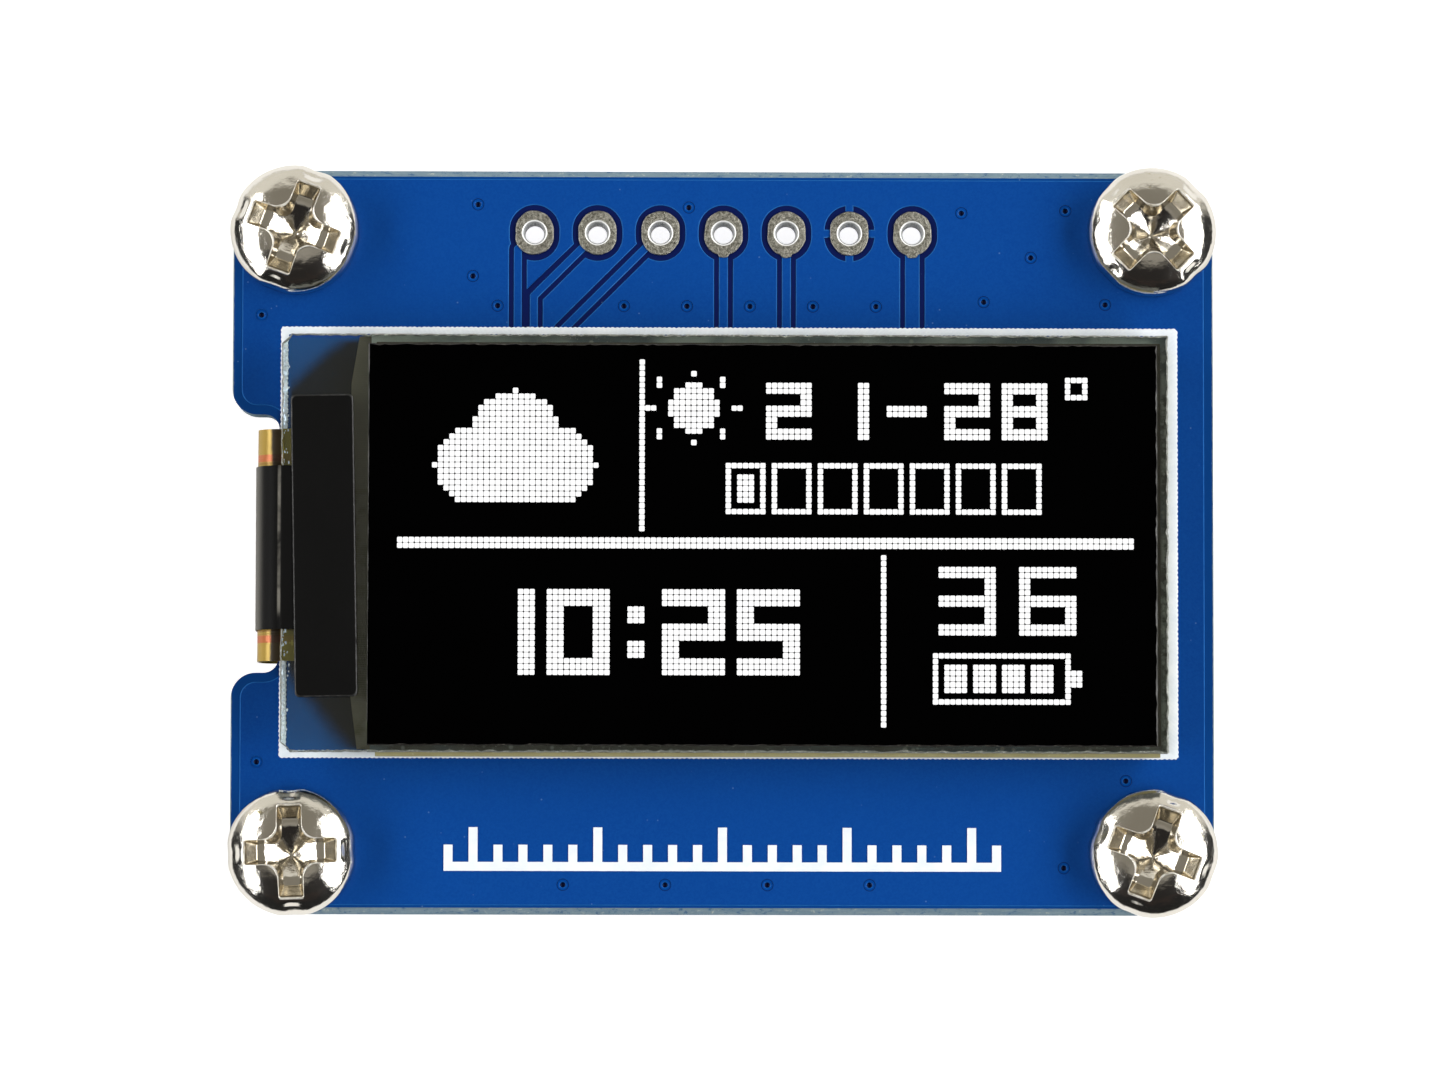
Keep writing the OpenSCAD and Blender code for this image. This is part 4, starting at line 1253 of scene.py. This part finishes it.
def screw_piece(k, corner, turn):
    """Pan head with a cross recess, and its threaded shank."""
    node = f"screw_{corner}"
    lo, hi = box(node)
    cx, cy, z0 = (lo.x + hi.x) / 2, (lo.y + hi.y) / 2, board_hi.z
    rng = random.Random(60 + k)
    turn = math.radians(turn)
    top = cross_outline(0)
    angles = [a for a, _ in top]
    b = Build()
    # Angle, distance from the axis, size and depth of each small dent
    dent_ranges = ((0, TAU), (1.3, 2.3), (0.16, 0.32), (0.004, 0.011))
    dents = [[rng.uniform(*limits) for limits in dent_ranges] for _ in range(18)]
    nicks = [rng.uniform(0.7, 1.7) for _ in range(4)]

    def nick(a, r):
        """Four shallow nicks in the rim, in line with the wings."""
        off = abs((a + math.pi / 4) % (math.pi / 2) - math.pi / 4)
        wing = round(a / (math.pi / 2)) % 4
        return nicks[wing] * smooth_step(1 - off / 0.24) * smooth_step((r - 1.98) / 0.3)

    def place(a, r, z):
        if r > 1.2:
            for da, dr, size, depth in dents:
                d = math.hypot(r * math.cos(a) - dr * math.cos(da), r * math.sin(a) - dr * math.sin(da))
                z -= depth * math.exp(-((d / size) ** 2))
        return (cx + r * math.cos(a + turn), cy + r * math.sin(a + turn), z0 + z)

    rings = []
    # Underside, upright side and the round into the crown
    for r in (1.6, HEAD_R - 0.12):
        rings.append([place(a, r, 0.0) for a in angles])
    for i in range(5):
        t = math.radians(90 * i / 4)
        r = HEAD_R - 0.12 + 0.12 * math.sin(t)
        rings.append([place(a, r - 0.04 * nick(a, 2.5), 0.1 - 0.1 * math.cos(t)) for a in angles])
    rim_z = crown(CROWN_END) - RIM_R * math.cos(RIM_TILT)
    rim_x = HEAD_R - RIM_R
    for z in (0.3, 0.5):
        rings.append([place(a, HEAD_R - 0.05 * nick(a, 2.5), z * rim_z / 0.6) for a in angles])
    for i in range(9):
        t = lerp(math.pi / 2, RIM_TILT, i / 8)
        r, z = rim_x + RIM_R * math.sin(t), rim_z + RIM_R * math.cos(t)
        rings.append([place(a, r - 0.05 * nick(a, r), z - 0.03 * nick(a, r)) for a in angles])
    # Crown, from its edge in to the recess
    steps = 16
    for i in range(1, steps + 1):
        t = i / steps
        ring = []
        for a, reach in top:
            r = lerp(CROWN_END, reach + 0.075, t)
            ring.append(place(a, r - 0.05 * nick(a, r), crown(r) - 0.03 * nick(a, r)))
        rings.append(ring)
    # Raised burr, rounded lip and wall
    for off, drop in ((0.074, 0.004), (0.05, -0.016), (0.02, -0.02), (-0.006, 0.006), (-0.02, 0.07)):
        rings.append([place(a, reach + off, crown(reach) - drop) for a, reach in top])
    floor_z = HEAD_H - 1.02
    lip = len(rings) - 4
    walls = len(rings)
    for depth in (0.2, 0.4, 0.6, 0.8, 0.93):
        ring = []
        for (a, reach), (_, start) in zip(cross_outline(depth), top):
            ring.append(place(a, reach - 0.02, lerp(crown(start) - 0.07, floor_z, depth)))
        rings.append(ring)
    floors = len(rings)
    # Floor, and the pointed pit in its middle
    for share in (0.97, 0.9, 0.8, 0.68, 0.55, 0.42, 0.3, 0.2, 0.11, 0.04):
        ring = []
        for a, reach in cross_outline(1.0):
            r = reach * share
            sunk = 1 - min(1.0, r / 1.12)
            # The pit's point lies a little towards the board's lower edge
            x, y, z = place(a, r, floor_z - 0.03 - 0.7 * sunk)
            ring.append((x, y - 0.14 * sunk, z))
        rings.append(ring)
    numbers = [b.ring(r) for r in rings]
    for i, (lower, upper) in enumerate(zip(numbers, numbers[1:])):
        b.join(lower, upper, 2 if lip <= i < walls - 1 else 1 if walls - 1 <= i < floors else 0)
    b.face(numbers[-1])
    # Threaded shank, with its tip below the standoff's thread
    tip = z0 - lo.z
    count = 48
    levels = [0.0] + [0.05 + i * 0.11 for i in range(int((tip - 0.35) / 0.11))]
    shank = [thread_ring(cx, cy, z0 - z, z, lambda tooth: 1.47 - 0.13 * tooth, count) for z in levels]
    shank += [circle(cx, cy, r, z0 - z, count) for r, z in ((1.2, tip - 0.12), (1.08, tip - 0.02), (0.98, tip))]
    numbers = b.loft(shank)
    b.face(numbers[-1])
    return b.piece(f"screw_{corner}_nickel", [nickel, recess_nickel, lip_highlight_nickel], "screw", replaces=node, angle=50)


def standoff_piece(corner):
    """Hexagonal standoff with turned corners and a threaded hole from below."""
    node = f"standoff_{corner}"
    lo, hi = box(node)
    cx, cy, height = (lo.x + hi.x) / 2, (lo.y + hi.y) / 2, hi.z
    flats = hi.y - lo.y
    corner_r = flats / 2 / math.cos(math.radians(30))
    edge = 0.3
    count = 144

    def hexagon(a):
        return flats / 2 / math.cos(math.radians(math.degrees(a) % 60 - 30))

    def ring(limit, z):
        out = []
        for i in range(count):
            a = TAU * i / count
            r = min(hexagon(a), limit)
            out.append((cx + r * math.cos(a), cy + r * math.sin(a), z))
        return out

    b = Build()
    rings = [ring(corner_r - edge - 0.06, 0.0), ring(corner_r - edge, 0.012)]
    turned = [(lerp(corner_r - edge, corner_r, t), edge / 2 * t) for t in (0.15, 0.35, 0.6, 0.8, 1.0)]
    rings += [ring(limit, rise + 0.012) for limit, rise in turned]
    rings += [ring(limit, height - rise - 0.004) for limit, rise in turned[::-1]]
    rings.append(ring(1.55, height - 0.002))
    numbers = b.loft(rings)
    # Thread in the hole
    bore = [circle(cx, cy, 1.62, 0.0, count)]
    depth = 2.4
    steps = 34
    for s in range(steps + 1):
        z = 0.02 + (depth - 0.02) * s / steps
        clear = smooth_step(z / 0.35)
        bore.append(thread_ring(cx, cy, z, z, lambda tooth: lerp(1.56, 1.25 + 0.2 * tooth, clear), count))
    inner = b.loft(bore)
    b.join(inner[0], numbers[0])
    b.faces = [f[::-1] for f in b.faces]
    return b.piece(f"standoff_{corner}_metal", standoff_metal, "standoff", replaces=node, angle=24)


for number, (corner, turn) in enumerate(CORNERS.items()):
    screw_piece(number, corner, turn)
    standoff_piece(corner)


# ---- Small parts on the back ----


def rounded_box(b, lo, hi, r, material):
    """A box with rounded edges, as rings from one end to the other along Z."""

    def ring(inset, z):
        arcs = corner_arcs(lo[0] + inset, lo[1] + inset, hi[0] - inset, hi[1] - inset, r, 3)
        return [(x, y, z) for corner in arcs for x, y in corner]

    # Inset, and way in from the end, from its flat to its upright sides
    bends = [(r * (1 - math.sin(math.radians(a))) * 0.9, r * (1 - math.cos(math.radians(a)))) for a in (0, 30, 60, 90)]
    rings = [ring(inset, lo[2] + d) for inset, d in bends] + [ring(inset, hi[2] - d) for inset, d in bends[::-1]]
    numbers = b.loft(rings, material)
    b.face(numbers[0][::-1], material)
    b.face(numbers[-1], material)


def solder_fillet(b, x, y, way, width, rise, reach, material):
    """Concave fillet of solder from a part's end down to the board's underside."""
    z0 = board_lo.z
    rows = []
    for s in range(7):
        t = s / 6
        out = reach * t
        up = rise * (1 - t) ** 2.2
        half = lerp(width / 2, width / 2 + 0.06, t)
        row = []
        for i in range(9):
            u = -1 + i / 4
            row.append((x + way * out, y + u * half, z0 - up * (1 - 0.25 * u * u) - 0.001))
        rows.append(row)
    numbers = [b.ring(r) for r in rows]
    for a, c in zip(numbers, numbers[1:]):
        b.join(a, c, material, closed=False)


def two_ended(node, surface, slot, top=None):
    """Chip part with a ceramic body between two tinned ends, soldered to the back of the board."""
    lo, hi = box(node)
    cap = 0.35
    rise = 0.03
    b = Build()
    rounded_box(b, (lo.x + cap * 0.7, lo.y + rise, lo.z + rise), (hi.x - cap * 0.7, hi.y - rise, hi.z), 0.05, 0)
    if top:
        low, high = (lo.x + cap, lo.y + rise * 2, lo.z + rise * 0.6), (hi.x - cap, hi.y - rise * 2, lo.z + rise + 0.05)
        rounded_box(b, low, high, 0.02, 2)
    for x0, x1, end, way in ((lo.x, lo.x + cap, lo.x, -1), (hi.x - cap, hi.x, hi.x, 1)):
        rounded_box(b, (x0, lo.y, lo.z), (x1, hi.y, hi.z), 0.07, 1)
        solder_fillet(b, end, (lo.y + hi.y) / 2, way, hi.y - lo.y - 0.08, (hi.z - lo.z) * 0.62, 0.3, 1)
    return b.piece(f"{node}_part", [surface, solder] + ([top] if top else []), slot, replaces=node, angle=50)


def regulator():
    lo, hi = box("voltage_regulator")
    b = Build()
    mid = (lo.z + hi.z) / 2
    inset = 0.06
    levels = [
        (inset + 0.04, lo.z), (inset, lo.z + 0.03), (0.012, mid - 0.03), (0.0, mid), (0.012, mid + 0.03),
        (inset, hi.z - 0.12), (inset + 0.03, hi.z - 0.1),
    ]
    rings = []
    for d, z in levels:
        outline = round_rect((lo.x + d, lo.y + d), (hi.x - d, hi.y - d), 0.07, 5.0)
        rings.append([(x, y, z) for x, y in outline])
    numbers = b.loft(rings)
    b.face(numbers[0][::-1])
    b.face(numbers[-1])
    # Round dimple that marks the first lead
    dimple = ((0.16, -0.0005), (0.13, 0.0), (0.0001, -0.0002))
    b.loft([circle(lo.x + 0.45, lo.y + 0.42, r, lo.z + z, 24) for r, z in dimple], 1)
    materials = [epoxy, resistor_body]
    return b.piece("voltage_regulator_body", materials, "regulator", replaces="voltage_regulator", angle=30)


def regulator_lead_set():
    """Bent leads from the body down to their solder."""
    body_lo, body_hi = box("voltage_regulator")
    lead_lo, lead_hi = box("regulator_leads")
    width, thick = 0.4, 0.13
    cx = (body_lo.x + body_hi.x) / 2
    b = Build()
    for y, end, way, offsets in (
        (body_lo.y, lead_lo.y, -1, (-0.95, 0, 0.95)), (body_hi.y, lead_hi.y, 1, (-0.95, 0.95)),
    ):
        reach = abs(end - y)
        # Way out from the body, in shares of the reach, and drop below the board
        bends = ((0.22, 0.5), (0.42, 0.42), (0.52, 0.2), (0.64, 0.08), (1.0, 0.06))
        profile = [(-0.05, 0.5)] + [(reach * share, drop) for share, drop in bends]
        outer, inner = offset_path(profile, -thick / 2), offset_path(profile, thick / 2)
        for off in offsets:
            rows = []
            for out, back in zip(outer, inner):
                corners = ((-width / 2, out), (width / 2, out), (width / 2, back), (-width / 2, back))
                rows.append([
                    (cx + off + x, y + way * min(far, reach), board_lo.z - max(0.0, drop)) for x, (far, drop) in corners
                ])
            numbers = b.loft(rows)
            b.face(numbers[0])
            b.face(numbers[-1][::-1])
    return b.piece("regulator_lead_set", solder, "solder", replaces="regulator_leads", angle=40)


for name in sorted(nodes):
    if name.startswith("capacitor_"):
        two_ended(name, capacitor_body, "capacitor")
    if name.startswith("resistor_"):
        two_ended(name, resistor_base, "resistor", resistor_body)
regulator()
regulator_lead_set()


# ---- Floor, light and camera ----


def floor():
    """A white floor that keeps the object's shadow."""
    size = 3.0
    mesh = bpy.data.meshes.new("floor")
    mesh.from_pydata([(-size, -size, 0), (size, -size, 0), (size, size, 0), (-size, size, 0)], [], [(0, 1, 2, 3)])
    obj = bpy.data.objects.new("floor", mesh)
    bpy.context.scene.collection.objects.link(obj)
    obj.location.z = -0.02 * MM
    s = Surface("white_floor", 0.9, Base_Color=(0.82, 0.82, 0.82, 1), Specular_IOR_Level=0.0)
    # White to the camera and through glass, and a little less bright in metal
    path = s.node("ShaderNodeLightPath").outputs
    through = s.max(path["Is Camera Ray"], path["Is Transmission Ray"])
    seen = s.node("ShaderNodeMath", {0: path["Is Glossy Ray"], 1: 0.3, 2: through}, operation="MULTIPLY_ADD")
    seen.use_clamp = True
    s.set("Emission Color", (1, 1, 1, 1))
    s.set("Emission Strength", s.mul(seen.outputs[0], 0.55))
    mesh.materials.append(s.material)


def softbox(name, azimuth, distance, low, high, width, strength):
    """A plain upright soft light beside the object, at an azimuth counted from +X towards +Y."""
    light = bpy.data.lights.new(name, "AREA")
    light.shape = "RECTANGLE"
    light.size, light.size_y = width, high - low
    # Strength is the radiance of the panel
    light.energy = strength * width * (high - low) * math.pi
    obj = bpy.data.objects.new(name, light)
    a = math.radians(azimuth)
    way = Vector((math.cos(a), math.sin(a), 0))
    obj.location = way * distance + Vector((0, 0, (low + high) / 2))
    obj.rotation_euler = way.to_track_quat("Z", "Y").to_euler()
    bpy.context.scene.collection.objects.link(obj)


def world():
    """Dim grey surroundings for reflections, and plain white behind the object."""
    w = bpy.data.worlds.new("studio")
    bpy.context.scene.world = w
    w.use_nodes = True
    n = Nodes(w.node_tree)
    way = n.node("ShaderNodeSeparateXYZ", {0: n.node("ShaderNodeTexCoord").outputs["Generated"]}).outputs

    def colour_step(axis, low, high, a, b):
        """From one colour to the other as the way that a ray goes passes from low to high."""
        return n.mix(n.step(way[axis], low, high), a, b)

    # Grey-brown above and behind, and a pale wall low down behind
    wall = colour_step("Z", 0.46, 0.36, (0.26, 0.24, 0.2, 1), (0.85, 0.82, 0.74, 1))
    # In front it is dark from low down to well up, with a faint warm line
    warm = colour_step("Z", 0.44, 0.38, (0.026, 0.024, 0.023, 1), (0.15, 0.09, 0.07, 1))
    front = colour_step("Z", 0.38, 0.32, warm, (0.02, 0.019, 0.019, 1))
    front = colour_step("Z", 0.7, 0.82, front, (0.34, 0.32, 0.28, 1))
    room = colour_step("Y", -0.55, -0.1, front, wall)
    # Dark beside the object, under the lights
    beside = colour_step("Y", 0.25, 0.7, (0.02, 0.02, 0.02, 1), room)
    room = colour_step("Z", 0.36, 0.46, beside, room)
    seen = n.mix(n.node("ShaderNodeLightPath").outputs["Is Camera Ray"], room, (1, 1, 1, 1))
    background = w.node_tree.nodes["Background"]
    n.plug(background.inputs["Color"], seen)
    background.inputs["Strength"].default_value = 1.0


def camera():
    """Looks down on the board, a little from its lower edge, from about a quarter of a metre."""
    data = bpy.data.cameras.new("camera")
    data.sensor_width = 36
    data.lens = 161.9
    data.clip_start, data.clip_end = 0.01, 10
    obj = bpy.data.objects.new("camera", data)
    stands = Vector((-3.0, -16.0, board_hi.z + 260.0))
    looks_at = Vector((-0.12, 0.06, board_hi.z))
    roll = math.radians(0.1)
    # Upright on the board's Y
    back = (stands - looks_at).normalized()
    right = Vector((0, 1, 0)).cross(back).normalized()
    up = back.cross(right)
    turn = Matrix((right, up, back)).transposed() @ Matrix.Rotation(roll, 3, "Z")
    obj.matrix_world = Matrix.Translation(stands * MM) @ turn.to_4x4()
    bpy.context.scene.collection.objects.link(obj)
    bpy.context.scene.camera = obj


floor()
softbox("softbox_right", azimuth=0, distance=0.3, low=0.11, high=0.31, width=0.6, strength=6.7)
softbox("softbox_left", azimuth=180, distance=0.3, low=0.11, high=0.23, width=0.58, strength=7.0)
world()
camera()
bpy.context.scene.view_settings.view_transform = "Standard"
